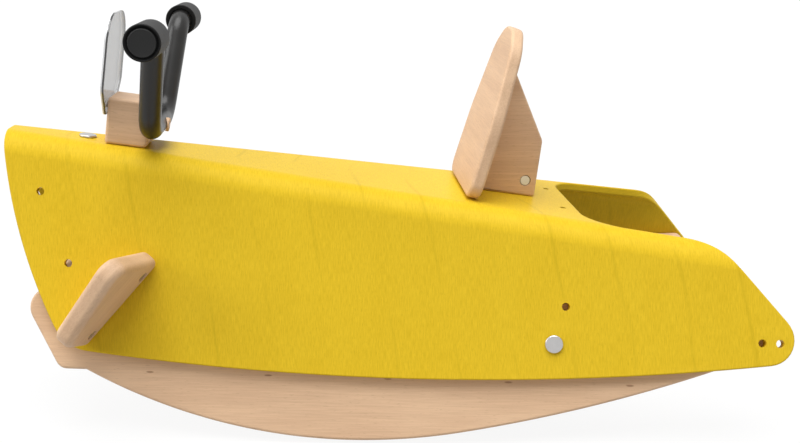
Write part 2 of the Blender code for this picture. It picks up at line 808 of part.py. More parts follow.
# Handlebar tube
def bar_point(y, rise):
    """A point of the handlebar's plane, which leans back with height."""
    return bar_foot() + Vector((math.sin(BAR_LEAN) * rise, y, math.cos(BAR_LEAN) * rise))


def bar_path():
    """Middle line of the tube in its plane, from the left end to the right."""
    def corner(p, q, r, radius, steps=7):
        a = (Vector(p) - Vector(q)).normalized()
        b = (Vector(r) - Vector(q)).normalized()
        opening = a.angle(b)
        tangent = radius / math.tan(opening / 2)
        centre = Vector(q) + (a + b).normalized() * (radius / math.sin(opening / 2))
        start = Vector(q) + a * tangent
        end = Vector(q) + b * tangent
        first = start - centre
        last = end - centre
        sweep = first.angle(last)
        points = []
        for k in range(steps + 1):
            share = k / steps
            mix = (first * math.sin((1 - share) * sweep) + last * math.sin(share * sweep)) / math.sin(sweep)
            points.append(tuple(centre + mix))
        return points

    start = (0.0, 0.0)
    low = (BAR_FOOT_HALF, 0.0)
    high = (BAR_HEAD_HALF, BAR_HEIGHT)
    end = (BAR_END_HALF, BAR_HEIGHT)
    half = [start] + corner(start, low, high, BAR_FOOT_RADIUS) + corner(low, high, end, BAR_HEAD_RADIUS) + [end]
    return [(-y, rise) for y, rise in reversed(half[1:])] + half


def make_bar(mats):
    """A hollow tube swept along its path, open at both ends."""
    path = bar_path()
    lean_out = Vector((math.cos(BAR_LEAN), 0, -math.sin(BAR_LEAN)))
    centres = [bar_point(y, rise) for y, rise in path]
    segments = 18
    bm = bmesh.new()
    skins = []
    for radius in (TUBE_RADIUS, TUBE_RADIUS - TUBE_WALL):
        rings = []
        for index, centre in enumerate(centres):
            before = centres[max(index - 1, 0)]
            after = centres[min(index + 1, len(centres) - 1)]
            heading = (after - before).normalized()
            other = heading.cross(lean_out).normalized()
            ring = []
            for k in range(segments):
                turn = math.tau * k / segments
                ring.append(bm.verts.new(centre + (lean_out * math.cos(turn) + other * math.sin(turn)) * radius))
            rings.append(ring)
        skins.append(rings)
        for one, two in zip(rings, rings[1:]):
            for k in range(segments):
                nxt = (k + 1) % segments
                bm.faces.new((one[k], one[nxt], two[nxt], two[k]))
    outer, inner = skins
    for end in (0, -1):
        for k in range(segments):
            nxt = (k + 1) % segments
            bm.faces.new((outer[end][k], outer[end][nxt], inner[end][nxt], inner[end][k]))
    bar = finish("handlebar_tube", bm, mats["black"])
    foot = bar_foot()
    seat = foot + lean_out * TUBE_RADIUS
    tip = seat - lean_out * BAR_SCREW_LENGTH
    bore = SCREW_RADIUS + HOLE_CLEARANCE
    cut(bar, "cutter_bar_screw", [rod(seat + lean_out * 0.004, seat - lean_out * 3 * TUBE_RADIUS, bore, 16)])
    cut(bpy.data.objects["handlebar_block"], "cutter_block_screw", [rod(foot, tip - lean_out * GAP, bore, 16)])
    screw = [(0.0, -BAR_SCREW_LENGTH), (SCREW_RADIUS, -BAR_SCREW_LENGTH + 0.003), (SCREW_RADIUS, GAP),
             (SCREW_HEAD, GAP), (SCREW_HEAD, 0.0010), (SCREW_HEAD * 0.72, 0.0016), (0.0, 0.0018)]
    finish("handlebar_screw", turned_mesh(screw, seat, lean_out, 16), mats["steel"])
    edge = BUTTON_OUT * 0.4
    button = [(0.0, -BUTTON_WRAP), (BUTTON_RADIUS, -BUTTON_WRAP), (BUTTON_RADIUS, BUTTON_OUT - edge),
              (BUTTON_RADIUS - edge * 0.4, BUTTON_OUT - edge * 0.3), (BUTTON_RADIUS - edge, BUTTON_OUT),
              (0.0, BUTTON_OUT)]
    cover = finish("handlebar_button", turned_mesh(button, seat, lean_out, 20), mats["beech"])
    across = Vector((0, BUTTON_RADIUS + 0.004, 0))
    cut(cover, "cutter_button_seat", [rod(foot - across, foot + across, TUBE_RADIUS + GAP, 36)])
    recess = SCREW_HEAD + HOLE_CLEARANCE
    cut(cover, "cutter_button_recess", [rod(foot, seat + lean_out * 0.0021, recess, 16)])
    for side_name, side in SIDES:
        make_grip(side_name, side, mats)


def make_grip(side_name, side, mats):
    axis = Vector((0, side, 0))
    middle = bar_point(0.0, BAR_HEIGHT)
    base = middle + axis * GRIP_INNER_HALF
    length = GRIP_LENGTH
    bore = TUBE_RADIUS + HOLE_CLEARANCE
    soft = GRIP_ROUND
    outside = [(bore, 0.0), (GRIP_RADIUS - soft, 0.0)]
    for k in range(1, 4):
        turn = math.pi / 2 * k / 3
        outside.append((GRIP_RADIUS - soft + soft * math.sin(turn), soft * (1 - math.cos(turn))))
    outside += [(radius, length - height) for radius, height in reversed(outside)]
    finish("grip_" + side_name, ring_mesh(outside, base, axis), mats["rubber"])
    tube_end = middle + axis * BAR_END_HALF
    plug = TUBE_RADIUS - TUBE_WALL - HOLE_CLEARANCE
    cap_seat = GAP
    profile = [(0.0, -CAP_PLUG), (plug - 0.0008, -CAP_PLUG), (plug, -CAP_PLUG + 0.0008), (plug, cap_seat),
               (bore - 2 * HOLE_CLEARANCE, cap_seat), (bore - 2 * HOLE_CLEARANCE, GRIP_PAST + GAP),
               (CAP_RADIUS, GRIP_PAST + GAP), (CAP_RADIUS, GRIP_PAST + GAP + CAP_LIP * 0.6),
               (CAP_RADIUS - CAP_LIP * 0.5, GRIP_PAST + GAP + CAP_LIP), (0.0, GRIP_PAST + GAP + CAP_LIP)]
    finish("grip_cap_" + side_name, turned_mesh(profile, tube_end, axis), mats["rubber"])


def ring_mesh(profile, base, axis, segments=28):
    """A closed ring: the profile's two ends meet round the bore."""
    axis, side, up = basis(axis)
    bm = bmesh.new()
    rings = []
    for radius, height in profile:
        ring = []
        for k in range(segments):
            turn = math.tau * k / segments
            offset = (side * math.cos(turn) + up * math.sin(turn)) * radius
            ring.append(bm.verts.new(base + axis * height + offset))
        rings.append(ring)
    for one, two in zip(rings, rings[1:] + rings[:1]):
        for k in range(segments):
            after = (k + 1) % segments
            bm.faces.new((one[k], one[after], two[after], two[k]))
    return bm


# Windscreen
def block_front(height):
    """Middle of the block's front face at a height above the top."""
    return top_point(BLOCK_FRONT_X, 0.0, height)


def screen_point(across, run, depth):
    """The sheet's point: across it, up it from its lower edge, and through it from the rear face."""
    return block_front(SCREEN_SEAT + run) - TOP_ALONG * (GAP + depth) + Vector((0, across, 0))


def screen_outline():
    foot = (SCREEN_FOOT_HALF, 0.0)
    hip = (SCREEN_HALF, SCREEN_FOOT_UP)
    shoulder = (SCREEN_SHOULDER_HALF, SCREEN_SHOULDER_UP)
    crown = (SCREEN_CROWN_HALF, SCREEN_HEIGHT)
    half = [line(foot, hip), line(hip, shoulder), arc(shoulder, crown, -SCREEN_SHOULDER_RADIUS, 10)]
    flip = [[(-x, y) for x, y in reversed(edge)] for edge in reversed(half)]
    edges = [line((-foot[0], foot[1]), foot)] + half + [line(crown, (-crown[0], crown[1]))] + flip
    return outline(edges, [0.003, SCREEN_CORNER, 0.0, 0.012, 0.012, 0.0, SCREEN_CORNER, 0.003])


def screen_screw_places():
    """Where each screw's axis crosses the sheet's rear face."""
    return [screen_point(side * SCREEN_SCREW_HALF, SCREEN_SCREW_UP, 0.0) for side in (-1, 1)]


def screen_screw_holes():
    out = -TOP_ALONG
    return [rod(place + out * 0.010, place - out * (SCREW_LENGTH + 0.0005), SCREW_RADIUS + HOLE_CLEARANCE, 16)
            for place in screen_screw_places()]


def make_screen(mats):
    screen = finish("windscreen", board_mesh(screen_outline(), SCREEN_THICK, SCREEN_EDGE, screen_point, 1),
                    mats["clear"])
    out = -TOP_ALONG
    cut(screen, "cutter_screen", screen_screw_holes())
    for (side_name, _), place in zip(SIDES, screen_screw_places()):
        seat = place + out * (SCREEN_THICK + GAP)
        tip = SCREW_LENGTH + SCREEN_THICK
        profile = [(0.0, -tip), (SCREW_RADIUS, -tip + 0.003), (SCREW_RADIUS, 0.0), (SCREW_HEAD, 0.0),
                   (SCREW_HEAD, 0.0006), (SCREW_HEAD * 0.72, 0.0018), (0.0, 0.0022)]
        finish("windscreen_screw_" + side_name, turned_mesh(profile, seat, out, 16), mats["steel"])


# Backrest
def back_axes():
    rise = Vector((math.sin(BACK_LEAN), 0, math.cos(BACK_LEAN)))
    return rise, Vector((math.cos(BACK_LEAN), 0, -math.sin(BACK_LEAN)))


def back_foot():
    """Lowest middle point of the plate's front face: its rear lower arris clears the top."""
    rise, rearward = back_axes()
    drop = BACK_THICK * math.sin(BACK_LEAN) - BACK_THICK * math.cos(BACK_LEAN) * TOP_SLOPE
    return Vector((BACK_X, 0, top_z(BACK_X) + GAP + max(drop, 0.0) / math.cos(BACK_LEAN)))


def back_outline():
    corners = [(-BACK_HALF, 0.0), (BACK_HALF, 0.0), (BACK_HALF_MID, BACK_MID), (BACK_HALF_HIGH, BACK_HIGH),
               (BACK_TOP_HALF, BACK_HEIGHT), (-BACK_TOP_HALF, BACK_HEIGHT), (-BACK_HALF_HIGH, BACK_HIGH),
               (-BACK_HALF_MID, BACK_MID)]
    edges = [line(a, b) for a, b in zip(corners, corners[1:] + corners[:1])]
    return outline(edges, [BACK_FOOT_ROUND, 0.090, 0.034, 0.030, 0.030, 0.034, 0.090, BACK_FOOT_ROUND])


def back_point(y, rise_run, depth):
    rise, rearward = back_axes()
    return back_foot() + rise * rise_run + rearward * depth + Vector((0, y, 0))


def bracket_outline():
    """The bracket in the middle plane, in side view."""
    low_front = back_point(0, 0.004, BACK_THICK + GAP)
    low_front = Vector((low_front.x, 0, top_z(low_front.x) + GAP))
    rear_low = (BRACKET_REAR_X, top_z(BRACKET_REAR_X) + GAP)
    waist = (BRACKET_WAIST_X, BRACKET_WAIST_Z)
    apex = back_point(0, BRACKET_TOP, BACK_THICK + GAP)
    front_foot = back_point(0, 0.0, BACK_THICK + GAP)
    rise, rearward = back_axes()
    span = (front_foot.z - (top_z(front_foot.x) + GAP)) / (rise.z + TOP_SLOPE * rise.x)
    foot = front_foot - rise * span
    corners = [(foot.x, foot.z), rear_low, waist, (apex.x, apex.z)]
    edges = [line(a, b) for a, b in zip(corners, corners[1:] + corners[:1])]
    return outline(edges, [0.002, 0.010, 0.003, 0.001])


def make_backrest(mats):
    rise, rearward = back_axes()
    plate = finish("backrest_plate", board_mesh(back_outline(), BACK_THICK, BACK_EDGE, back_point), mats["beech"])
    bracket = finish("backrest_bracket", board_mesh(bracket_outline(), 2 * BRACKET_HALF, BRACKET_EDGE,
                                                    lambda x, z, d: Vector((x, BRACKET_HALF - d, z))), mats["beech"])
    dowel_holes = []
    for label, height in zip(("lower", "upper"), DOWEL_HEIGHTS):
        joint = back_point(0, height, BACK_THICK)
        front = joint - rearward * DOWEL_DEPTH
        rear = joint + rearward * DOWEL_DEPTH
        finish("backrest_dowel_" + label, rod(front, rear, DOWEL_RADIUS), mats["beech"])
        dowel_holes.append((front - rearward * GAP, rear + rearward * GAP))
    cut(plate, "cutter_plate", [rod(a, b, DOWEL_RADIUS + HOLE_CLEARANCE) for a, b in dowel_holes])
    nut_middle = top_point(BRACKET_NUT_X, 0, BRACKET_NUT_HEIGHT)
    holes = [rod(a, b, DOWEL_RADIUS + HOLE_CLEARANCE) for a, b in dowel_holes]
    wide = Vector((0, BRACKET_HALF + 0.004, 0))
    holes.append(rod(nut_middle - wide, nut_middle + wide, NUT_RADIUS + HOLE_CLEARANCE))
    cut(bracket, "cutter_bracket_across", holes)
    cut(bracket, "cutter_bracket_bolt", [top_rod(BRACKET_NUT_X, 0.0, BOLT_RADIUS + HOLE_CLEARANCE,
                                                 -0.004, BRACKET_NUT_HEIGHT + 0.009)])
    half = Vector((0, BRACKET_HALF - 0.0010, 0))
    nut = finish("backrest_nut", rod(nut_middle - half, nut_middle + half, NUT_RADIUS), mats["brass"])
    cut(nut, "cutter_backrest_nut", [top_rod(BRACKET_NUT_X, 0.0, BOLT_RADIUS + HOLE_CLEARANCE, 0.004, 0.030)])
    length = SHEET + BRACKET_NUT_HEIGHT + NUT_RADIUS * 0.8
    finish("backrest_bolt", socket_bolt(under_top(BRACKET_NUT_X), -TOP_UP, length), mats["steel"])


# Nose block
def make_nose_block(mats):
    under = top_measure(under_top(NOSE_BLOCK_X))[1]
    middle = top_measure(Vector((NOSE_BLOCK_X, 0, top_z(NOSE_BLOCK_X))))[0]
    half = NOSE_BLOCK_HALF_LENGTH
    corners = [(middle - half, under - NOSE_BLOCK_HEIGHT), (middle + half, under - NOSE_BLOCK_HEIGHT),
               (middle + half, under), (middle - half, under)]
    edges = [line(a, b) for a, b in zip(corners, corners[1:] + corners[:1])]
    loop = outline(edges, [0.003, 0.001, 0.001, 0.003])

    def place(along, height, depth):
        return on_top(along, height, NOSE_BLOCK_HALF_WIDTH - depth)

    block = finish("nose_block", board_mesh(loop, 2 * NOSE_BLOCK_HALF_WIDTH, NOSE_BLOCK_EDGE, place), mats["beech"])
    low = under - NOSE_BLOCK_HEIGHT
    cut(block, "cutter_nose_block",
        [top_rod(NOSE_BLOCK_X, 0.0, SLEEVE_RADIUS + HOLE_CLEARANCE, low - 0.004, under + 0.004)])
    length = -low - 0.003
    cap = finish("nose_cap_nut", sleeve_nut(top_point(NOSE_BLOCK_X, 0, GAP), TOP_UP, length), mats["steel"])
    cut(cap, "cutter_nose_nut",
        [top_rod(NOSE_BLOCK_X, 0.0, BOLT_RADIUS + HOLE_CLEARANCE, low - 0.010, -0.004)])
    finish("nose_bolt", socket_bolt(top_point(NOSE_BLOCK_X, 0, low - GAP), -TOP_UP, 0.018), mats["steel"])


def build():
    for obj in list(bpy.data.objects):
        bpy.data.objects.remove(obj, do_unlink=True)
    mats = make_materials()
    make_body(mats)
    for side_name, side in SIDES:
        make_rocker(side_name, side, mats)
        make_peg(side_name, side, mats)
        make_rear_fixing(side_name, side, mats)
    make_block(mats)
    make_bar(mats)
    make_screen(mats)
    make_backrest(mats)
    make_nose_block(mats)


build()
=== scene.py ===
# Rocking motorcycle for a small child, seen from its left side and a little above.
# Metres, +Z up: the nose points to -X, the rider's left side is -Y, and the floor is at zero.
import json
import math

import bmesh
import bpy
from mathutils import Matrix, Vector


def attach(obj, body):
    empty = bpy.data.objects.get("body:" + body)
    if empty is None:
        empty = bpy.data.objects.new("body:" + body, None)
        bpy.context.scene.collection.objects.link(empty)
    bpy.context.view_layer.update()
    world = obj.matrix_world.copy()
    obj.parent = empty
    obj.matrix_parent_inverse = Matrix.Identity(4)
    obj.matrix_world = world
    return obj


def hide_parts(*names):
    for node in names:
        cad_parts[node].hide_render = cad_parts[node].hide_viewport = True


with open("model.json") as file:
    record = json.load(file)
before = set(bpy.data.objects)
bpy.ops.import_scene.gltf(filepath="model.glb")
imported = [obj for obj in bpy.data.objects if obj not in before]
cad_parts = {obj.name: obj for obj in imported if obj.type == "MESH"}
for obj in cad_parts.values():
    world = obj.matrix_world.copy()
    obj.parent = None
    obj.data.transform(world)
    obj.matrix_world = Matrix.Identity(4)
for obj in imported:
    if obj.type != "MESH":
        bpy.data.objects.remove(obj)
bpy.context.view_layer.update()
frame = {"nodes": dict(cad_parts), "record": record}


# Body shell
# One sheet of beech-faced ply, stained yellow and lacquered, bent down along two lines that
# run apart towards the tail. The veneer's grain runs across the body, down both walls.
sheet, sheet_arris = 0.008, 0.0016
bend_radius = 0.026
splay = math.radians(16.2)
top_at_middle, slope = 0.2198, 0.1460
flat_at_middle, taper = 0.0586, 0.144
gap = 0.0003
bend_turn = math.pi / 2 - splay
bend_length = bend_radius * bend_turn
bend_drop = bend_radius * (1 - math.cos(bend_turn))
top_up = Vector((slope, 0, 1)).normalized()
top_along = Vector((1, 0, -slope)).normalized()


def top_z(x):
    return top_at_middle - slope * x


def flat_half(x):
    return flat_at_middle + taper * x


def wall_half(x, z):
    return flat_half(x) + bend_radius * math.sin(bend_turn) + (top_z(x) - bend_drop - z) * math.tan(splay)


def run_of(x, z):
    """Distance over the outer face from the middle line down to height z."""
    drop = top_z(x) - z
    if drop <= bend_drop:
        return flat_half(x) + bend_radius * math.acos(max(-1.0, 1 - drop / bend_radius))
    return flat_half(x) + bend_length + (drop - bend_drop) / math.cos(splay)


def sheet_point(x, run, depth):
    """The bent sheet's point at station x, a run across it and a depth below its outer face."""
    side = math.copysign(1.0, run)
    across, edge = abs(run), flat_half(x)
    if across <= edge:
        return Vector((x, run, top_z(x) - depth))
    turn = min((across - edge) / bend_radius, bend_turn)
    beyond = max(0.0, across - edge - bend_length)
    y = edge + (bend_radius - depth) * math.sin(turn) + beyond * math.sin(splay)
    z = top_z(x) - bend_radius + (bend_radius - depth) * math.cos(turn) - beyond * math.cos(splay)
    return Vector((x, side * y, z))


wall_corner = [Vector((x, -wall_half(x, z), z)) for x, z in ((0, 0), (1, 0), (0, 1))]
inward = (wall_corner[1] - wall_corner[0]).cross(wall_corner[2] - wall_corner[0]).normalized()
inward *= math.copysign(1.0, inward.y)


def mirrored(point, side):
    return point if side < 0 else point * Vector((1, -1, 1))


def wall_point(x, z, depth=0.0):
    """The point with side-view place (x, z) on the plane a depth inside the left wall's outer face."""
    return Vector((x, -wall_half(x, z) + depth / inward.y, z))


def top_point(x, y, height):
    return Vector((x, y, top_z(x))) + top_up * height


def arc(start, end, radius, steps):
    """Points from start to end on a circle that bulges to the left of the way, or right if negative."""
    (sx, sy), (ex, ey) = start, end
    chord = math.hypot(ex - sx, ey - sy)
    size, side = abs(radius), math.copysign(1.0, radius)
    reach = math.sqrt(size * size - chord * chord / 4)
    cx = (sx + ex) / 2 + side * (ey - sy) / chord * reach
    cy = (sy + ey) / 2 - side * (ex - sx) / chord * reach
    first = math.atan2(sy - cy, sx - cx)
    sweep = 2 * math.asin(chord / 2 / size)
    turns = [first - side * sweep * k / steps for k in range(steps + 1)]
    return [(cx + size * math.cos(t), cy + size * math.sin(t)) for t in turns]


def trim(edge, length, from_end):
    """Cut a length off one end of an edge and give the edge, its new end and its direction there."""
    points = list(reversed(edge)) if from_end else list(edge)
    left = length
    while len(points) > 2 and left > math.dist(points[0], points[1]):
        left -= math.dist(points[0], points[1])
        points.pop(0)
    span = math.dist(points[0], points[1])
    share = min(left / span, 0.98)
    start = tuple(a + (b - a) * share for a, b in zip(points[0], points[1]))
    heading = tuple((b - a) / span for a, b in zip(points[0], points[1]))
    points[0] = start
    if from_end:
        points.reverse()
    return points, start, heading


def outline(edges, rounds, steps=12):
    """One closed loop from edges, with the corner after each edge rounded to a radius."""
    closest = 0.00004
    edges = [list(edge) for edge in edges]
    corners = []
    for index, radius in enumerate(rounds):
        after = (index + 1) % len(edges)
        if radius <= 0:
            corners.append([])
            continue
        one, two = edges[index], edges[after]
        turn = (Vector(one[-1]) - Vector(one[-2])).angle(Vector(two[1]) - Vector(two[0]))
        cut_length = radius * math.tan(turn / 2)
        edges[index], p0, back = trim(one, cut_length, True)
        edges[after], p3, ahead = trim(two, cut_length, False)
        handle = 4 / 3 * math.tan(turn / 4) * radius
        p1 = (p0[0] - back[0] * handle, p0[1] - back[1] * handle)
        p2 = (p3[0] - ahead[0] * handle, p3[1] - ahead[1] * handle)
        curve = []
        for k in range(1, steps):
            t, s = k / steps, 1 - k / steps
            weights = (s ** 3, 3 * s * s * t, 3 * s * t * t, t ** 3)
            curve.append(tuple(sum(w * p[i] for w, p in zip(weights, (p0, p1, p2, p3))) for i in (0, 1)))
        corners.append(curve)
    clean = []
    for edge, corner in zip(edges, corners):
        for point in edge + corner:
            if not clean or math.dist(point, clean[-1]) > closest:
                clean.append(point)
    if math.dist(clean[0], clean[-1]) < closest:
        clean.pop()
    return clean


nose_x = -0.3520
chin, tail = (-0.2960, 0.0830), (0.3744, 0.0822)
front_radius, sill_radius = 0.440, 2.60
wing_rake = 0.866
cutout_x, cutout_margin = 0.1790, 0.0024
chin_round, tail_round, wing_round, cutout_round = 0.040, 0.0240, 0.045, 0.038


def shell_outline():
    """The sheet's outline laid flat: station along it, and run across it from the middle line."""
    skim = 0.0001
    nose_top = (nose_x, top_z(nose_x) - skim)
    wing_x = tail[0]
    for _ in range(20):
        wing_x = tail[0] - wing_rake * (top_z(wing_x) - tail[1])
    high = (wing_x, top_z(wing_x) - skim)
    slant = [tuple(a + (b - a) * k / 36 for a, b in zip(tail, high)) for k in range(37)]
    sides = (arc(nose_top, chin, -front_radius, 24), arc(chin, tail, -sill_radius, 40), slant)
    front, sill, slant = ([(x, run_of(x, z)) for x, z in edge] for edge in sides)
    wing = (slant[-1][0], flat_half(slant[-1][0]) + cutout_margin)
    shoulder = (cutout_x, flat_half(cutout_x) + cutout_margin)
    slant = [point for point in slant if point[1] > wing[1]] + [wing]
    half = [front, sill, slant, [wing, shoulder]]
    flip = [[(x, -run) for x, run in reversed(edge)] for edge in reversed(half)]
    nose = [(front[0][0], -front[0][1]), front[0]]
    rounds = [0.0, chin_round, tail_round, wing_round, cutout_round]
    edges = [nose] + half + [[shoulder, (shoulder[0], -shoulder[1])]] + flip
    return outline(edges, rounds + rounds[::-1])


def inset(loop, distance):
    """Move each point of a loop inwards by a distance."""
    turn = sum(a[0] * b[1] - b[0] * a[1] for a, b in zip(loop, loop[1:] + loop[:1]))
    sense = math.copysign(1.0, turn)
    moved = []
    for index, point in enumerate(loop):
        a = (Vector(point) - Vector(loop[index - 1])).normalized()
        b = (Vector(loop[(index + 1) % len(loop)]) - Vector(point)).normalized()
        na, nb = Vector((-a.y, a.x)) * sense, Vector((-b.y, b.x)) * sense
        mitre = (na + nb) / (1 + na.dot(nb)) * distance
        moved.append((point[0] + mitre.x, point[1] + mitre.y))
    return moved


def board(loop, thickness, arris, steps=5):
    """A board lying flat in its own measure, (u, v, depth), with its arrises rounded."""
    quarter = [math.pi / 2 * k / steps for k in range(steps + 1)]
    rings = [(arris * (1 - math.sin(turn)), arris * (1 - math.cos(turn))) for turn in quarter]
    rings += [(back, thickness - deep) for back, deep in reversed(rings)]
    bm = bmesh.new()
    layers = [[bm.verts.new((*point, deep)) for point in inset(loop, back)] for back, deep in rings]
    for one, two in zip(layers, layers[1:]):
        for index in range(len(one)):
            after = (index + 1) % len(one)
            bm.faces.new((one[index], one[after], two[after], two[index]))
    bm.faces.new(list(reversed(layers[0])))
    bm.faces.new(layers[-1])
    return bm


touching = 1e-7


def turned(profile, base, axis, segments):
    """A solid of revolution: profile is (radius, height) from the base along the axis."""
    axis = Vector(axis).normalized()
    side = axis.cross(Vector((0, 0, 1)))
    if side.length < 0.1:
        side = axis.cross(Vector((0, 1, 0)))
    side.normalize()
    up = axis.cross(side)
    bm = bmesh.new()
    rows = []
    for radius, height in profile:
        centre = base + axis * height
        count = segments if radius > touching else 1
        turns = [math.tau * k / segments for k in range(count)]
        rows.append([bm.verts.new(centre + (side * math.cos(t) + up * math.sin(t)) * radius) for t in turns])
    for one, two in zip(rows, rows[1:]):
        for k in range(segments):
            after = (k + 1) % segments
            corners = (one[k % len(one)], one[after % len(one)], two[after % len(two)], two[k % len(two)])
            bm.faces.new(dict.fromkeys(corners))
    if len(rows[0]) > 1 and profile[0] == profile[-1]:
        bmesh.ops.remove_doubles(bm, verts=rows[0] + rows[-1], dist=touching)
    else:
        for row in (rows[0], rows[-1]):
            if len(row) > 1:
                bm.faces.new(row)
    return bm


def drill(u, v, radius, thickness, past=0.004, segments=40):
    """A cutter through a board that lies flat, running past both of its faces."""
    length = thickness + 2 * past
    return turned([(radius, 0.0), (radius, length)], Vector((u, v, -past)), (0, 0, 1), segments)


def plain_mesh(name, bm):
    """The solid as a mesh, with its faces pointing outwards wherever its points were moved to."""
    bm.normal_update()
    bmesh.ops.recalc_face_normals(bm, faces=bm.faces)
    mesh = bpy.data.meshes.new(name)
    bm.to_mesh(mesh)
    bm.free()
    return mesh


def linked(name, data):
    obj = bpy.data.objects.new(name, data)
    bpy.context.scene.collection.objects.link(obj)
    return obj


def evaluated(obj):
    """The object's mesh as its modifiers leave it."""
    graph = bpy.context.evaluated_depsgraph_get()
    return bpy.data.meshes.new_from_object(obj.evaluated_get(graph))


def as_bmesh(mesh):
    bm = bmesh.new()
    bm.from_mesh(mesh)
    bpy.data.meshes.remove(mesh)
    return bm


def cut(bm, cutters):
    """The solid less each cutter."""
    target = linked("target", plain_mesh("target", bm))
    helpers = []
    for cutter in cutters:
        helper = linked("helper", plain_mesh("helper", cutter))
        modifier = target.modifiers.new("cut", "BOOLEAN")
        modifier.operation = "DIFFERENCE"
        modifier.solver = "EXACT"
        modifier.object = helper
        helpers.append(helper)
    result = evaluated(target)
    for item in helpers + [target]:
        bpy.data.objects.remove(item)
    return as_bmesh(result)


spare_hole, bolt_hole, cap_hole, screw_hole = 0.0036, 0.0033, 0.0048, 0.0030
spare_spots = ((-0.3173, 0.2191), (-0.2922, 0.1566), (0.1534, 0.1248), (0.3240, 0.0962), (0.3394, 0.0960))
peg_lean = math.radians(47.6)
peg_foot, peg_pitch = (-0.2727, 0.1002), 0.069
peg_along = Vector((math.cos(peg_lean), 0, math.sin(peg_lean)))
peg_along.y = -(inward.x * peg_along.x + inward.z * peg_along.z) / inward.y
peg_along.normalize()
peg_bolts = [peg_foot, (peg_foot[0] + peg_along.x * peg_pitch, peg_foot[1] + peg_along.z * peg_pitch)]
rear_bolt, rear_screw = (0.1421, 0.0929), (0.1650, 0.0405)
nose_nut_x, block_bolts_x, bracket_bolt_x = -0.2810, (-0.2520, -0.2350), 0.1322

punches = []
for side in (-1, 1):
    spots = [(spot, spare_hole) for spot in spare_spots] + [(spot, bolt_hole) for spot in peg_bolts]
    for (x, z), radius in spots + [(rear_bolt, cap_hole)]:
        punches.append(drill(x, side * run_of(x, z), radius, sheet))
    punches.append(drill(rear_screw[0], side * rear_screw[1], screw_hole, sheet))
punches.append(drill(nose_nut_x, 0.0, cap_hole, sheet))
for x in (*block_bolts_x, bracket_bolt_x):
    punches.append(drill(x, 0.0, bolt_hole, sheet))
shell = cut(board(shell_outline(), sheet, sheet_arris), punches)


def split(bm, place, normal):
    """Divide every face where a plane crosses it, so that the flat sheet can follow the bend."""
    everything = bm.verts[:] + bm.edges[:] + bm.faces[:]
    bmesh.ops.bisect_plane(bm, geom=everything, dist=touching, plane_co=place, plane_no=normal)


bend_strips, station = 18, 0.016
for k in range(bend_strips + 1):
    for side in (-1, 1):
        run = flat_at_middle + bend_length * k / bend_strips
        split(shell, (0, side * run, 0), (-taper, side, 0))
for k in range(1, 44):
    split(shell, (nose_x + k * station, 0, 0), (1, 0, 0))
for face in shell.faces:
    face.material_index = 0 if abs(face.normal.z) > 0.5 else 1


def laid(bm, place):
    """Keep each point's flat measure as its grain place, then move it to where the piece is."""
    layer = bm.verts.layers.float_vector.get("grain") or bm.verts.layers.float_vector.new("grain")
    for vert in bm.verts:
        vert[layer] = vert.co
        vert.co = place(*vert.co)
    return bm


class Value:
    """A socket among a material's nodes: arithmetic on it adds the node that works it out."""

    def __init__(self, socket):
        self.socket = socket

    def node(self, kind, inputs, output=0, **settings):
        tree = self.socket.id_data
        made = tree.nodes.new("ShaderNode" + kind)
        for name, value in settings.items():
            setattr(made, name, value)
        for name, value in inputs.items():
            if isinstance(value, Value):
                tree.links.new(value.socket, made.inputs[name])
            else:
                made.inputs[name].default_value = value
        return Value(made.outputs[output])

    def maths(self, operation, *others):
        return self.node("Math", dict(enumerate((self, *others))), operation=operation)

    def __add__(self, other):
        return self.maths("ADD", other)

    def __sub__(self, other):
        return self.maths("SUBTRACT", other)

    def __mul__(self, other):
        return self.maths("MULTIPLY", other)

    def __truediv__(self, other):
        return self.maths("DIVIDE", other)

    def __rsub__(self, other):
        return self.node("Math", {0: other, 1: self}, operation="SUBTRACT")

    def __rtruediv__(self, other):
        return self.node("Math", {0: other, 1: self}, operation="DIVIDE")

    __radd__ = __add__
    __rmul__ = __mul__

    def stretched(self, x, y, z):
        return self.node("VectorMath", {0: self, 1: (x, y, z)}, operation="MULTIPLY")

    def noise(self, scale, detail=2.0, roughness=0.5):
        """Cloudy values about 1 / scale metres across."""
        inputs = {"Vector": self, "Scale": scale, "Detail": detail, "Roughness": roughness}
        return self.node("TexNoise", inputs)

    def between(self, low, high):
        """0 below low, 1 above high, and a soft step between them."""
        return self.node("MapRange", {"Value": self, 1: low, 2: high}, interpolation_type="SMOOTHSTEP")

    def parts(self):
        return [self.node("SeparateXYZ", {"Vector": self}, output=k) for k in range(3)]

    def blend(self, low, high):
        """The colour low where this is 0 and high where it is 1."""
        return self.node("Mix", {0: self, 6: low, 7: high}, output=2, data_type="RGBA")


def surface(name, colour, roughness, metallic=0.0, **settings):
    """A new material and its Principled shader, with its fixed values set."""
    material = bpy.data.materials.new(name)
    material.use_nodes = True
    shader = material.node_tree.nodes["Principled BSDF"]
    shader.inputs["Base Color"].default_value = (*colour, 1.0)
    shader.inputs["Roughness"].default_value = roughness
    shader.inputs["Metallic"].default_value = metallic
    for key, value in settings.items():
        shader.inputs[key.replace("_", " ")].default_value = value
    material.diffuse_color = (*colour, 1.0)
    return material, shader


def feed(shader, **values):
    for name, value in values.items():
        shader.id_data.links.new(value.socket, shader.inputs[name.replace("_", " ")])


def source(shader, kind, output, **settings):
    made = shader.id_data.nodes.new("ShaderNode" + kind)
    for name, value in settings.items():
        setattr(made, name, value)
    return Value(made.outputs[output])


def grain_place(shader):
    return source(shader, "Attribute", "Vector", attribute_name="grain")


def object_place(shader):
    return source(shader, "TexCoord", "Object")


def bumped(shader, height, distance, strength):
    feed(shader, Normal=height.node("Bump", {"Height": height, "Distance": distance, "Strength": strength}))


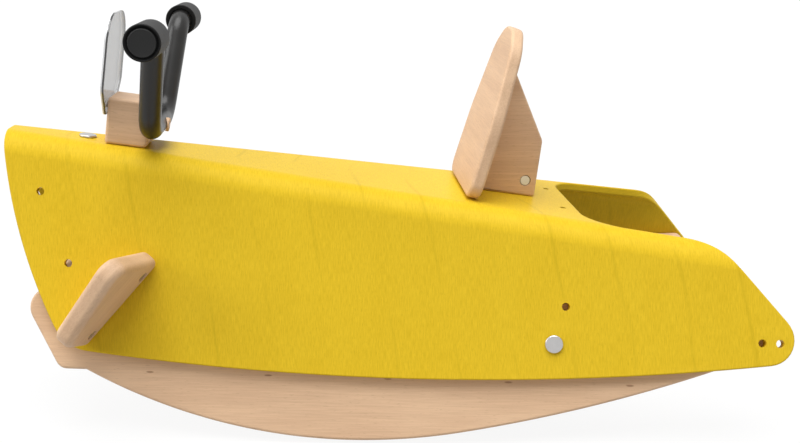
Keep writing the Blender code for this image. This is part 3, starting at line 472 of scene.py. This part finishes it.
def stained(name, edge):
    """Yellow stain over beech veneer: fine pores, faint streaks and sparse slanting growth lines."""
    deep, pale = (0.70, 0.460, 0.018, 1), (0.84, 0.575, 0.032, 1)
    pore_tint, growth_tint = (0.54, 0.340, 0.010, 1), (0.55, 0.365, 0.012, 1)
    glue_tint = (0.55, 0.37, 0.02, 1)
    growth_pitch, growth_slant, growth_wander, ply = 0.0530, 0.17, 0.018, 0.00145
    material, shader = surface(name, (0.78, 0.53, 0.022), 0.42, Specular_IOR_Level=0.04)
    place = grain_place(shader)
    x, run, depth = place.parts()
    across = run.maths("ABSOLUTE")
    fibre = place.stretched(1, 0.08, 1).noise(1300.0, 2.0, 0.6)
    pores = place.stretched(1, 0.16, 1).noise(1500.0, 1.0, 0.6).between(0.60, 0.74)
    cloud = place.stretched(1, 0.30, 1).noise(26.0, 3.0, 0.55)
    wander = place.stretched(1, 0.5, 1).noise(14.0, 2.0)
    ring = ((x - across * growth_slant + wander * growth_wander) / growth_pitch).maths("FRACT")
    growth = (ring - 0.5).maths("ABSOLUTE").between(0.0, 0.055)
    faint = place.noise(9.0, 1.0).between(0.40, 0.62)
    tone = fibre * 0.80 + cloud * 0.20
    colour = tone.between(0.26, 0.74).blend(deep, pale)
    colour = (pores * 0.38).blend(colour, pore_tint)
    colour = ((1.0 - growth) * faint * 0.34).blend(colour, growth_tint)
    if edge:
        layer = ((depth / ply).maths("FRACT") - 0.5).maths("ABSOLUTE").between(0.06, 0.20)
        colour = layer.blend(glue_tint, colour)
    feed(shader, Base_Color=colour, Roughness=fibre * 0.10 + pores * 0.16 + 0.31)
    bumped(shader, fibre * 0.6 - pores * 0.8 - (1.0 - growth) * 0.3, 0.00006, 0.40)
    return material


def piece(name, bm, materials, nodes):
    """A shown piece that stands for CAD nodes, with flat faces that shade flat."""
    mesh = plain_mesh(name, bm)
    mesh.shade_smooth()
    mesh.set_sharp_from_angle(angle=math.radians(32.0))
    for material in materials:
        mesh.materials.append(material)
    obj = linked(name, mesh)
    modifier = obj.modifiers.new("normals", "WEIGHTED_NORMAL")
    modifier.keep_sharp = True
    modifier.weight = 100
    obj.data = evaluated(obj)
    obj.modifiers.clear()
    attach(obj, "root")
    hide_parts(*nodes)
    return obj


stains = [stained("stained_face", False), stained("stained_edge", True)]
piece("body", laid(shell, sheet_point), stains, ["body_shell"])


# Rocker boards
# Two curved boards of pale beech under clear matt oil, flat against the insides of the walls.
# Their lower edges are the arcs that the toy rocks on, and a small brown fleck shows in the
# wood about every 108 mm.
board_thick, board_arris = 0.018, 0.0025
inside_wall = sheet + gap
rock_x, toe_x, heel_x, rear_x = -0.0370, -0.2785, 0.0600, 0.3400
rock_radius, toe_radius, heel_radius = 0.580, 0.538, 1.50
rear_top, front_top, front_low = (rear_x, 0.1235), (-0.3420, 0.1325), (-0.3030, 0.0620)
fleck_x, fleck_pitch, fleck_z, fleck_fall = -0.2199, 0.1075, 0.0578, 0.0113
fleck_long, fleck_high = 0.0036, 0.0009


def beech_like(name, by_attribute=True, flecks=False):
    """Steamed beech: pale pinkish tan with short brown pores and faint bands along the grain."""
    dark, pale = (0.670, 0.435, 0.268, 1), (0.800, 0.545, 0.345, 1)
    pore_tint, fleck_tint = (0.44, 0.255, 0.140, 1), (0.31, 0.150, 0.075, 1)
    material, shader = surface(name, (0.72, 0.50, 0.33), 0.52, Specular_IOR_Level=0.35)
    place = grain_place(shader) if by_attribute else object_place(shader)
    fibre = place.stretched(0.035, 1, 1).noise(700.0, 2.0, 0.6)
    bands = place.stretched(0.10, 1, 1).noise(42.0, 3.0, 0.55)
    pores = place.stretched(0.11, 1, 1).noise(1250.0, 1.0, 0.6).between(0.62, 0.74)
    colour = (fibre * 0.40 + bands * 0.60).between(0.34, 0.66).blend(dark, pale)
    colour = (pores * 0.34).blend(colour, pore_tint)
    if flecks:
        x, z, depth = place.parts()
        along = (((x - fleck_x) / fleck_pitch + 0.5).maths("FRACT") - 0.5) * fleck_pitch
        height = z - (fleck_z + x * -fleck_fall)
        spot = (along / fleck_long) * (along / fleck_long) + (height / fleck_high) * (height / fleck_high)
        colour = (spot.between(1.4, 0.3) * 0.75).blend(colour, fleck_tint)
    feed(shader, Base_Color=colour, Roughness=fibre * 0.10 + pores * 0.12 + 0.45)
    bumped(shader, fibre * 0.5 - pores * 0.7, 0.00006, 0.5)
    return material


def rocker_outline():
    """Three arcs under the board, from toe to heel, then its straight rear, top and front."""
    base = (board_thick - board_arris) * -inward.z
    heel_turn = math.asin((heel_x - rock_x) / rock_radius)
    toe_turn = math.asin((toe_x - rock_x) / toe_radius)

    def on_arc(turn, size):
        return (rock_x + size * math.sin(turn), base + size * (1 - math.cos(turn)))

    run = [on_arc(toe_turn * (1 - k / 40), toe_radius) for k in range(40)]
    run += [on_arc(heel_turn * k / 16, rock_radius) for k in range(17)]
    far_x = run[-1][0] - heel_radius * math.sin(heel_turn)
    far_z = run[-1][1] + heel_radius * math.cos(heel_turn)
    last_turn = math.asin((rear_x - far_x) / heel_radius)
    for k in range(1, 31):
        turn = heel_turn + (last_turn - heel_turn) * k / 30
        run.append((far_x + heel_radius * math.sin(turn), far_z - heel_radius * math.cos(turn)))
    edges = [run, [run[-1], rear_top], [rear_top, front_top], [front_top, front_low], [front_low, run[0]]]
    return outline(edges, [0.011, 0.011, 0.0170, 0.0110, 0.0040])


def on_wall(side, depth):
    def place(x, z, deeper):
        return mirrored(wall_point(x, z, depth) + inward * deeper, side)
    return place


flecked_beech = beech_like("beech_rocker", flecks=True)
for side_name, side in (("left", -1), ("right", 1)):
    holes = []
    for (x, z), radius in ((peg_foot, bolt_hole), (rear_bolt, cap_hole)):
        centre = wall_point(x, z) + inward * inside_wall
        holes.append(drill(centre.x, centre.z, radius, board_thick))
    rocker = cut(board(rocker_outline(), board_thick, board_arris), holes)
    piece("rocker_board_" + side_name, laid(rocker, on_wall(side, inside_wall)), [flecked_beech],
          ["rocker_" + side_name])


# Foot pegs
# A short beech board stands square to each wall on two cross-dowel bolts, its outer corners
# and arrises rounded over. The barrel nuts sit in open holes through its thickness.
peg_thick, peg_arris = 0.018, 0.0060
peg_low, peg_high = -0.015, peg_pitch + 0.019
peg_reach, peg_low_reach = 0.078, 0.043
peg_tip_lean, peg_toe_lean = 0.0165, 0.0025
peg_tip_up = math.tan(math.radians(5.0))
peg_across = peg_along.cross(inward).normalized()
nut_deep, nut_hole = 0.012, 0.0053
beech = beech_like("beech_board")


def sides_of(corners):
    """The straight edges from each corner to the next, the last one closing the loop."""
    return [[a, b] for a, b in zip(corners, corners[1:] + corners[:1])]


def on_peg(side):
    def place(u, v, depth):
        base = wall_point(*peg_foot) - inward * (gap + v) + peg_along * u
        return mirrored(base + peg_across * (depth - peg_thick / 2 + v * peg_tip_up), side)
    return place


corners = [(peg_low, 0.0), (peg_high, 0.0), (peg_high - peg_tip_lean, peg_reach),
           (peg_low - peg_toe_lean, peg_low_reach)]
loop = outline(sides_of(corners), [0.0070, 0.015, 0.015, 0.0070])
for side_name, side in (("left", -1), ("right", 1)):
    holes = [drill(u, nut_deep, nut_hole, peg_thick, 0.006) for u in (0.0, peg_pitch)]
    peg = laid(cut(board(loop, peg_thick, peg_arris, 6), holes), on_peg(side))
    piece("peg_" + side_name, peg, [beech], ["foot_peg_" + side_name])


# Backrest
# A rounded board leaning back on a triangular bracket behind it; both are beech, and the
# bracket is held down by one bolt into a barrel nut. Its face is bare wood.
back_lean = math.radians(17.0)
back_x, back_thick, back_arris = 0.0702, 0.012, 0.0030
back_half = [(0.0690, 0.0), (0.0660, 0.0700), (0.0450, 0.1380), (0.0180, 0.1570)]
back_rounds = [0.015, 0.090, 0.034, 0.030]
back_rise = Vector((math.sin(back_lean), 0, math.cos(back_lean)))
back_rearward = Vector((math.cos(back_lean), 0, -math.sin(back_lean)))
back_dip = back_thick * (math.sin(back_lean) - math.cos(back_lean) * slope)
back_foot = Vector((back_x, 0, top_z(back_x) + gap + max(back_dip, 0.0) / math.cos(back_lean)))


def back_point(y, rise, depth):
    return back_foot + back_rise * rise + back_rearward * depth + Vector((0, y, 0))


corners = [(-back_half[0][0], 0.0)] + back_half + [(-y, rise) for y, rise in reversed(back_half[1:])]
loop = outline(sides_of(corners), back_rounds + back_rounds[::-1], 16)
piece("backrest_board", laid(board(loop, back_thick, back_arris), back_point), [beech],
      ["backrest_plate"])

bracket_thick, bracket_arris = 0.0180, 0.0018
bracket_apex_rise, bracket_heel_x, bracket_shoulder = 0.1260, 0.1434, (0.1500, 0.2540)
bracket_nut_up = 0.0150
foot = back_point(0, 0.0, back_thick + gap)
apex = back_point(0, bracket_apex_rise, back_thick + gap)
foot -= back_rise * ((foot.z - top_z(foot.x) - gap) / (back_rise.z + slope * back_rise.x))
bracket_nut = top_point(bracket_bolt_x, 0, bracket_nut_up)
corners = [(foot.x, foot.z), (bracket_heel_x, top_z(bracket_heel_x) + gap), bracket_shoulder,
           (apex.x, apex.z)]
bracket = board(outline(sides_of(corners), [0.002, 0.010, 0.003, 0.001]), bracket_thick, bracket_arris)
bmesh.ops.triangulate(bracket, faces=[face for face in bracket.faces if len(face.verts) > 8])
bracket = cut(bracket, [drill(bracket_nut.x, bracket_nut.z, nut_hole, bracket_thick)])
laid(bracket, lambda x, z, depth: Vector((x, bracket_thick / 2 - depth, z)))
piece("backrest_prop", bracket, [beech], ["backrest_bracket"])


# Handlebar block
# A beech block screwed to the top near the nose. Its arrises are rounded over, its rear end
# lets in the handlebar tube, and the clear screen is screwed to its front.
bar_x, bar_up, bar_radius = -0.2160, 0.0220, 0.0100
block_front_x, block_height, block_wide, block_arris = -0.2620, 0.0435, 0.045, 0.0030
block_short = 0.0040


def measure(point):
    """How far a point lies along the sloping top and how far above it."""
    offset = point - Vector((0, 0, top_z(0)))
    return offset.dot(top_along), offset.dot(top_up)


bar_foot = Vector((bar_x, 0, top_z(bar_x) + bar_up))
along, height = measure(bar_foot)
front, rear = measure(top_point(block_front_x, 0, 0))[0], along - block_short
corners = [(front, gap), (rear, gap), (rear, block_height), (front, block_height)]
block = cut(board(outline(sides_of(corners), [0.005, 0.004, 0.003, 0.003]), block_wide, block_arris),
            [drill(along, height, bar_radius + gap, block_wide, 0.010, 64)])
laid(block, lambda u, v, depth: Vector((0, block_wide / 2 - depth, top_z(0))) + top_along * u + top_up * v)
piece("bar_block", block, [beech], ["handlebar_block"])


# Handlebar tube
# One 20 mm tube bent up on both sides of the block and out level to the grips, in satin black
# enamel with a trace of orange peel. A node tree rounds a wire's corners and skins it.
bar_lean = math.radians(9.1)
bar_rise, bar_end, bar_wall = 0.0894, 0.1480, 0.0015
bar_half = [(0.0475, 0.0, 0.0295), (0.0880, bar_rise, 0.0220), (bar_end, bar_rise, 0.0)]
enamel, shader = surface("satin_enamel", (0.015, 0.014, 0.014), 0.36, Specular_IOR_Level=0.38)
place = object_place(shader)
peel = place.noise(420.0, 2.0, 0.5)
rubbed = place.noise(30.0, 3.0).between(0.45, 0.75)
feed(shader, Base_Color=rubbed.blend((0.013, 0.0125, 0.012, 1), (0.019, 0.018, 0.017, 1)),
     Roughness=peel * 0.08 + rubbed * 0.05 + 0.29)
bumped(shader, peel, 0.00005, 0.35)


def bar_point(y, rise):
    return bar_foot + Vector((math.sin(bar_lean) * rise, y, math.cos(bar_lean) * rise))


def tube_tree():
    """The node tree, and the identifier of each of its named inputs."""
    tree = bpy.data.node_groups.new("bent_tube", "GeometryNodeTree")
    keys = {}
    for name, kind in (("Wire", "Geometry"), ("Radius", "Float"), ("Sides", "Int"), ("Bend Steps", "Int"),
                       ("Across Bends", "Vector"), ("Finish", "Material")):
        socket = tree.interface.new_socket(name, in_out="INPUT", socket_type="NodeSocket" + kind)
        keys[name] = socket.identifier
    tree.interface.new_socket("Tube", in_out="OUTPUT", socket_type="NodeSocketGeometry")
    given = tree.nodes.new("NodeGroupInput").outputs

    def node(kind, output, inputs, **settings):
        made = tree.nodes.new("GeometryNode" + kind)
        for name, value in settings.items():
            setattr(made, name, value)
        for name, value in inputs.items():
            if isinstance(value, bpy.types.NodeSocket):
                tree.links.new(value, made.inputs[name])
            else:
                made.inputs[name].default_value = value
        return made.outputs[output]

    wire = node("MeshToCurve", "Curve", {"Mesh": given["Wire"]})
    bend = node("InputNamedAttribute", "Attribute", {"Name": "bend"}, data_type="FLOAT")
    way = node("FilletCurve", "Curve",
               {"Curve": wire, "Count": given["Bend Steps"], "Radius": bend}, mode="POLY")
    way = node("SetCurveNormal", "Curve", {"Curve": way, "Normal": given["Across Bends"]}, mode="FREE")
    ring = node("CurvePrimitiveCircle", "Curve", {"Resolution": given["Sides"], "Radius": given["Radius"]})
    skin = node("CurveToMesh", "Mesh", {"Curve": way, "Profile Curve": ring})
    skin = node("RemoveAttribute", "Geometry", {"Geometry": skin, "Name": "bend"})
    skin = node("RealizeInstances", "Geometry", {"Geometry": skin})
    skin = node("SetMaterial", "Geometry", {"Geometry": skin, "Material": given["Finish"]})
    tree.links.new(skin, tree.nodes.new("NodeGroupOutput").inputs["Tube"])
    return tree, keys


corners = [(-y, rise, radius) for y, rise, radius in reversed(bar_half)] + bar_half
wire = bpy.data.meshes.new("bar_wire")
points = [bar_point(y, rise) for y, rise, _ in corners]
wire.from_pydata(points, [(k, k + 1) for k in range(len(points) - 1)], [])
for item, (_, _, radius) in zip(wire.attributes.new("bend", "FLOAT", "POINT").data, corners):
    item.value = radius
carrier = linked("bar_wire", wire)
sweep = carrier.modifiers.new("sweep", "NODES")
sweep.node_group, keys = tube_tree()
across_bends = (math.cos(bar_lean), 0.0, -math.sin(bar_lean))
for name, value in (("Radius", bar_radius), ("Sides", 48), ("Bend Steps", 16), ("Across Bends", across_bends),
                    ("Finish", enamel)):
    sweep[keys[name]] = value
wall = carrier.modifiers.new("wall", "SOLIDIFY")
wall.thickness = bar_wall
wall.offset = -1
wall.use_even_offset = True
tube = as_bmesh(evaluated(carrier))
bpy.data.objects.remove(carrier)
piece("bar_tube", tube, [enamel], ["handlebar_tube"])


# Grips
# Soft black sleeves over the tube's ends. Each end face is a deeper black ring, and a plug with
# a flat round face closes the outer end.
grip_start, grip_length, grip_outer, grip_bore, grip_arris = 0.1000, 0.0520, 0.0152, 0.0103, 0.0011
grip_step, grip_ribs = 0.0012, 8
plug_shank, plug_neck, plug_face, plug_lip = 0.0082, 0.0097, 0.0114, 0.0022
plug_deep, plug_seat = 0.0080, 0.0040 - 0.0014


def rubber_like(name, colour, grain):
    """Moulded rubber: a fine leathery skin with faint dust."""
    material, shader = surface(name, colour, 0.62, Specular_IOR_Level=0.22)
    place = object_place(shader)
    skin = place.noise(grain, 3.0, 0.6)
    dust = place.noise(60.0, 2.0).between(0.45, 0.8)
    pale = (*(c * 1.5 + 0.002 for c in colour), 1)
    feed(shader, Base_Color=(dust * 0.6 + skin * 0.3).blend((*colour, 1), pale), Roughness=skin * 0.16 + 0.52)
    bumped(shader, skin, 0.00012, 0.5)
    return material


def grip_profile():
    """The sleeve's closed section: its inner end, outer side and outer end, as (radius, height)."""
    quarter = [math.pi / 2 * k / 5 for k in range(6)]
    edge = [(grip_outer - grip_arris + grip_arris * math.sin(t), grip_arris * (1 - math.cos(t)))
            for t in quarter]
    inner_end = [(grip_bore, grip_step), (grip_bore + 0.0006, grip_step), (grip_bore + 0.0012, 0.0004)] + edge
    outer_end = [(radius, grip_length - height) for radius, height in reversed(edge)]
    outer_end += [(0.0130, grip_length - 0.0010), (0.0118, grip_length - 0.0018),
                  (grip_bore, grip_length - 0.0018)]
    ribs = [(grip_outer, grip_step + (grip_length - 2 * grip_step) * k / grip_ribs)
            for k in range(1, grip_ribs)]
    return inner_end + ribs + outer_end + inner_end[:1]


def plug_profile():
    """The plug's section from the middle of its shank to the middle of its face."""
    top = plug_seat + plug_lip
    shank = [(0.0, -plug_deep), (plug_shank - 0.0008, -plug_deep), (plug_shank, 0.0008 - plug_deep),
             (plug_shank, gap), (plug_neck, gap), (plug_neck, plug_seat)]
    face = [(plug_face - 0.0002, plug_seat), (plug_face, plug_seat + 0.0003), (plug_face, top - 0.0005),
            (plug_face - 0.0002, top - 0.0002), (plug_face - 0.0006, top), (plug_face - 0.0011, top - 0.0002),
            (0.0, top - 0.0002)]
    return shank + face


rubber = rubber_like("grip_rubber", (0.016, 0.016, 0.016), 900.0)
rubber_deep = rubber_like("grip_rubber_end", (0.004, 0.004, 0.004), 900.0)
rubber_plug = rubber_like("grip_plug", (0.019, 0.019, 0.019), 1400.0)
for side_name, side in (("left", -1), ("right", 1)):
    axis = Vector((0, side, 0))
    base = bar_point(0.0, bar_rise) + axis * grip_start
    grip = turned(grip_profile(), base, axis, 72)
    grip.normal_update()
    for face in grip.faces:
        spot = face.calc_center_median() - base
        height = spot.dot(axis)
        radius = (spot - axis * height).length
        at_end = height < 0.0006 or height > grip_length - 0.0006 or radius < grip_outer - 0.0012
        face.material_index = 1 if at_end and radius < grip_outer - 0.0003 else 0
    piece("grip_sleeve_" + side_name, grip, [rubber, rubber_deep], ["grip_" + side_name])
    tip = bar_point(0.0, bar_rise) + axis * bar_end
    piece("grip_plug_" + side_name, turned(plug_profile(), tip, axis, 72), [rubber_plug],
          ["grip_cap_" + side_name])


# Windscreen
# A thin clear flat sheet, narrowed at its foot and screwed flat against the block's front. It
# shows grey against the light. A painted dark line and a painted highlight run along its
# polished edges in place of the reflections such an edge shows.
screen_thick, screen_arris, screen_height, screen_seat = 0.0032, 0.0005, 0.0927, 0.0270
screen_foot, screen_waist, screen_shoulder = (0.0225, 0.0), (0.0470, 0.0255), (0.0460, 0.0705)
screen_crown, shoulder_radius = (0.0138, screen_height), 0.0300
screen_rounds = [0.003, 0.012, 0.0, 0.012]
screen_hole, screen_hole_y, screen_hole_up = 0.0023, 0.0120, 0.0075

clear, shader = surface("clear_sheet", (0.30, 0.31, 0.32), 0.06, Specular_IOR_Level=0.6)
place = object_place(shader)
haze = place.stretched(1, 1, 0.4).noise(35.0, 3.0)
scratches = place.stretched(1.0, 0.08, 1.0).noise(900.0, 1.0).between(0.70, 0.80)
feed(shader, Base_Color=haze.blend((0.235, 0.240, 0.245, 1), (0.255, 0.260, 0.265, 1)),
     Roughness=haze * 0.05 + scratches * 0.06 + 0.04, Alpha=haze * 0.02 + scratches * 0.02 + 0.52)
bumped(shader, scratches, 0.00001, 0.2)
clear_edge, shader = surface("clear_sheet_edge", (0.05, 0.05, 0.05), 0.10, Specular_IOR_Level=0.8)
depth = grain_place(shader).parts()[2]
streak = object_place(shader).stretched(1, 1, 0.12).noise(260.0, 2.0)
# Painted reflection: a near-black band and a near-white band across the edge's thickness stand in for the
# dark and bright reflections of a polished clear edge.
painted_edge_lines = (depth / screen_thick + streak * 0.20).between(0.62, 0.72)
feed(shader, Base_Color=painted_edge_lines.blend((0.018, 0.018, 0.019, 1), (0.92, 0.93, 0.94, 1)),
     Alpha=streak * 0.06 + 0.94)


def screen_point(across, run, depth):
    return top_point(block_front_x, across, screen_seat + run) - top_along * (gap + depth)


half = [[screen_foot, screen_waist], [screen_waist, screen_shoulder],
        arc(screen_shoulder, screen_crown, -shoulder_radius, 20)]
flip = [[(-x, y) for x, y in reversed(edge)] for edge in reversed(half)]
foot_edge = [(-screen_foot[0], 0.0), screen_foot]
crown_edge = [screen_crown, (-screen_crown[0], screen_height)]
loop = outline([foot_edge] + half + [crown_edge] + flip, screen_rounds + screen_rounds[::-1])
holes = [drill(y, screen_hole_up, screen_hole, screen_thick, segments=24)
         for y in (-screen_hole_y, screen_hole_y)]
screen = cut(board(loop, screen_thick, screen_arris, 2), holes)
screen.normal_update()
for face in screen.faces:
    face.material_index = 0 if abs(face.normal.z) > 0.6 else 1
piece("screen_sheet", laid(screen, screen_point), [clear, clear_edge], ["windscreen"])


# Fasteners that show
# Flat steel caps on the rear rocker bolts and on the nose, turned with a soft bevel, and plated
# barrel nuts lying just under the wood's surface in the pegs and the backrest's bracket.
cap_radius, cap_bevel, cap_shank, cap_chamfer = 0.0080, 0.0011, 0.0045, 0.0003
rear_cap_length, nose_cap_length = inside_wall + board_thick - 0.003, 0.0265
nut_radius, nut_chamfer, peg_nut_sunk, bracket_nut_half = 0.0050, 0.0005, 0.0010, 0.0080


def metal_like(name, colour, roughness, grain):
    """Worn metal: its tone and polish vary, and fine turning marks run across it."""
    material, shader = surface(name, colour, roughness, 1.0)
    place = object_place(shader)
    wear = place.noise(240.0, 3.0, 0.6)
    turn = place.stretched(1, 1, 8).noise(grain, 2.0, 0.6)
    low, high = ((*(c * share for c in colour), 1) for share in (0.86, 1.08))
    feed(shader, Base_Color=wear.blend(low, high), Roughness=wear * 0.14 + turn * 0.10 + roughness - 0.10)
    bumped(shader, turn, 0.00003, 0.4)
    return material


def cap_nut(name, seat, outward, length, node):
    quarter = [math.pi / 2 * k / 6 for k in range(7)]
    profile = [(0.0, -length), (cap_shank, -length), (cap_shank, 0.0), (cap_radius - cap_chamfer, 0.0),
               (cap_radius, cap_chamfer)]
    profile += [(cap_radius - cap_bevel * (1 - math.cos(t)), cap_bevel * (1 + math.sin(t))) for t in quarter]
    profile.append((0.0, 2 * cap_bevel))
    piece(name, turned(profile, seat, outward, 72), [steel], [node])


def barrel_nut(name, start, end, node):
    length = (end - start).length
    profile = [(0.0, 0.0), (nut_radius - nut_chamfer, 0.0), (nut_radius, nut_chamfer),
               (nut_radius, length - nut_chamfer), (nut_radius - nut_chamfer, length), (0.0, length)]
    piece(name, turned(profile, start, end - start, 48), [plated], [node])


steel = metal_like("turned_steel", (0.52, 0.51, 0.505), 0.30, 700.0)
plated = metal_like("zinc_plate", (0.62, 0.59, 0.52), 0.38, 500.0)
for side_name, side in (("left", -1), ("right", 1)):
    seat = mirrored(wall_point(*rear_bolt) - inward * gap, side)
    cap_nut("rear_cap_" + side_name, seat, mirrored(-inward, side), rear_cap_length,
            "rear_cap_nut_" + side_name)
cap_nut("nose_cap", top_point(nose_nut_x, 0, gap), top_up, nose_cap_length, "nose_cap_nut")
for side_name, side in (("left", -1), ("right", 1)):
    for label, bolt in zip(("lower", "upper"), peg_bolts):
        reach = nut_deep + gap
        middle = wall_point(*bolt) - inward * reach + peg_across * reach * peg_tip_up
        half = peg_across * (peg_thick / 2 - peg_nut_sunk)
        barrel_nut("peg_barrel_%s_%s" % (side_name, label), mirrored(middle - half, side),
                   mirrored(middle + half, side), "peg_nut_%s_%s" % (side_name, label))
half = Vector((0, bracket_nut_half, 0))
barrel_nut("backrest_barrel", bracket_nut - half, bracket_nut + half, "backrest_nut")


# Small pieces kept from the model
# Bolts with hexagon sockets, threaded inserts, screws, dowels, the wooden button behind the tube
# and the block under the nose keep their own shapes and take the same finishes.
finishes = {"bright_steel": steel, "plated_steel": plated, "beech": beech_like("beech_small", False)}
for row in frame["record"]["subparts"]:
    node = frame["nodes"][row["node"]]
    if not node.hide_render and row["material_slot"] in finishes:
        for place in node.material_slots:
            place.material = finishes[row["material_slot"]]


# Floor, light and camera
# A pale floor under an even white sky, a wide soft light overhead and a weaker one from the
# nose's side, and the camera where the photograph's was.
floor_grey, floor_share, floor_glow = 0.42, 0.80, 1.14
sky_light, sky_shown = 0.27, 1.00
image_wide, framed_left = 800, 15


def seen_from(shader):
    """1 for rays from the camera, off gloss or through clear pieces, and 0 for light on the object."""
    seen = source(shader, "LightPath", "Is Camera Ray")
    for output in ("Is Glossy Ray", "Is Transmission Ray"):
        seen = seen.maths("MAXIMUM", source(shader, "LightPath", output))
    return seen


floor_mesh = bmesh.new()
bmesh.ops.create_grid(floor_mesh, x_segments=1, y_segments=1, size=9.0)
floor = linked("floor", plain_mesh("floor", floor_mesh))
floor.location.z = -0.0005
paper, shader = surface("floor_paper", (floor_grey, floor_grey, floor_grey), 0.9, Specular_IOR_Level=0.1)
fleece = object_place(shader).noise(300.0, 3.0)
feed(shader, Base_Color=fleece.blend((0.415, 0.415, 0.415, 1), (0.425, 0.425, 0.425, 1)))
bumped(shader, fleece, 0.0001, 0.1)
seen = seen_from(shader)
glow = seen.node("Emission", {"Color": (1, 1, 1, 1), "Strength": floor_glow})
shown = seen.node("MixShader", {0: seen * floor_share, 1: Value(shader.outputs[0]), 2: glow})
paper.node_tree.links.new(shown.socket, paper.node_tree.nodes["Material Output"].inputs["Surface"])
floor.data.materials.append(paper)

world = bpy.data.worlds.new("sky")
world.use_nodes = True
sky = world.node_tree.nodes["Background"]
sky.inputs["Color"].default_value = (1, 1, 1, 1)
feed(sky, Strength=seen_from(sky) * (sky_shown - sky_light) + sky_light)
bpy.context.scene.world = world


def lamp(name, towards, width, strength):
    """A wide soft light from a direction, the same everywhere."""
    data = bpy.data.lights.new(name, "SUN")
    data.angle = math.radians(width)
    data.energy = strength
    obj = linked(name, data)
    obj.location = Vector(towards) * 2
    obj.rotation_euler = Vector(towards).to_track_quat("Z", "Y").to_euler()


lamp("overhead", (-0.03, -0.20, 0.98), 50.0, 3.0)
lamp("left", (-0.86, -0.14, 0.48), 35.0, 1.3)

camera = bpy.data.cameras.new("camera")
camera.sensor_width = 36.0
camera.lens = 49.5
camera.shift_x = framed_left / image_wide
view = linked("camera", camera)
view.location = (-0.060, -1.0377, 0.442)
view.rotation_euler = (math.radians(75.55), 0.0, math.radians(-3.27))
bpy.context.scene.camera = view
bpy.context.scene.view_settings.view_transform = "Standard"
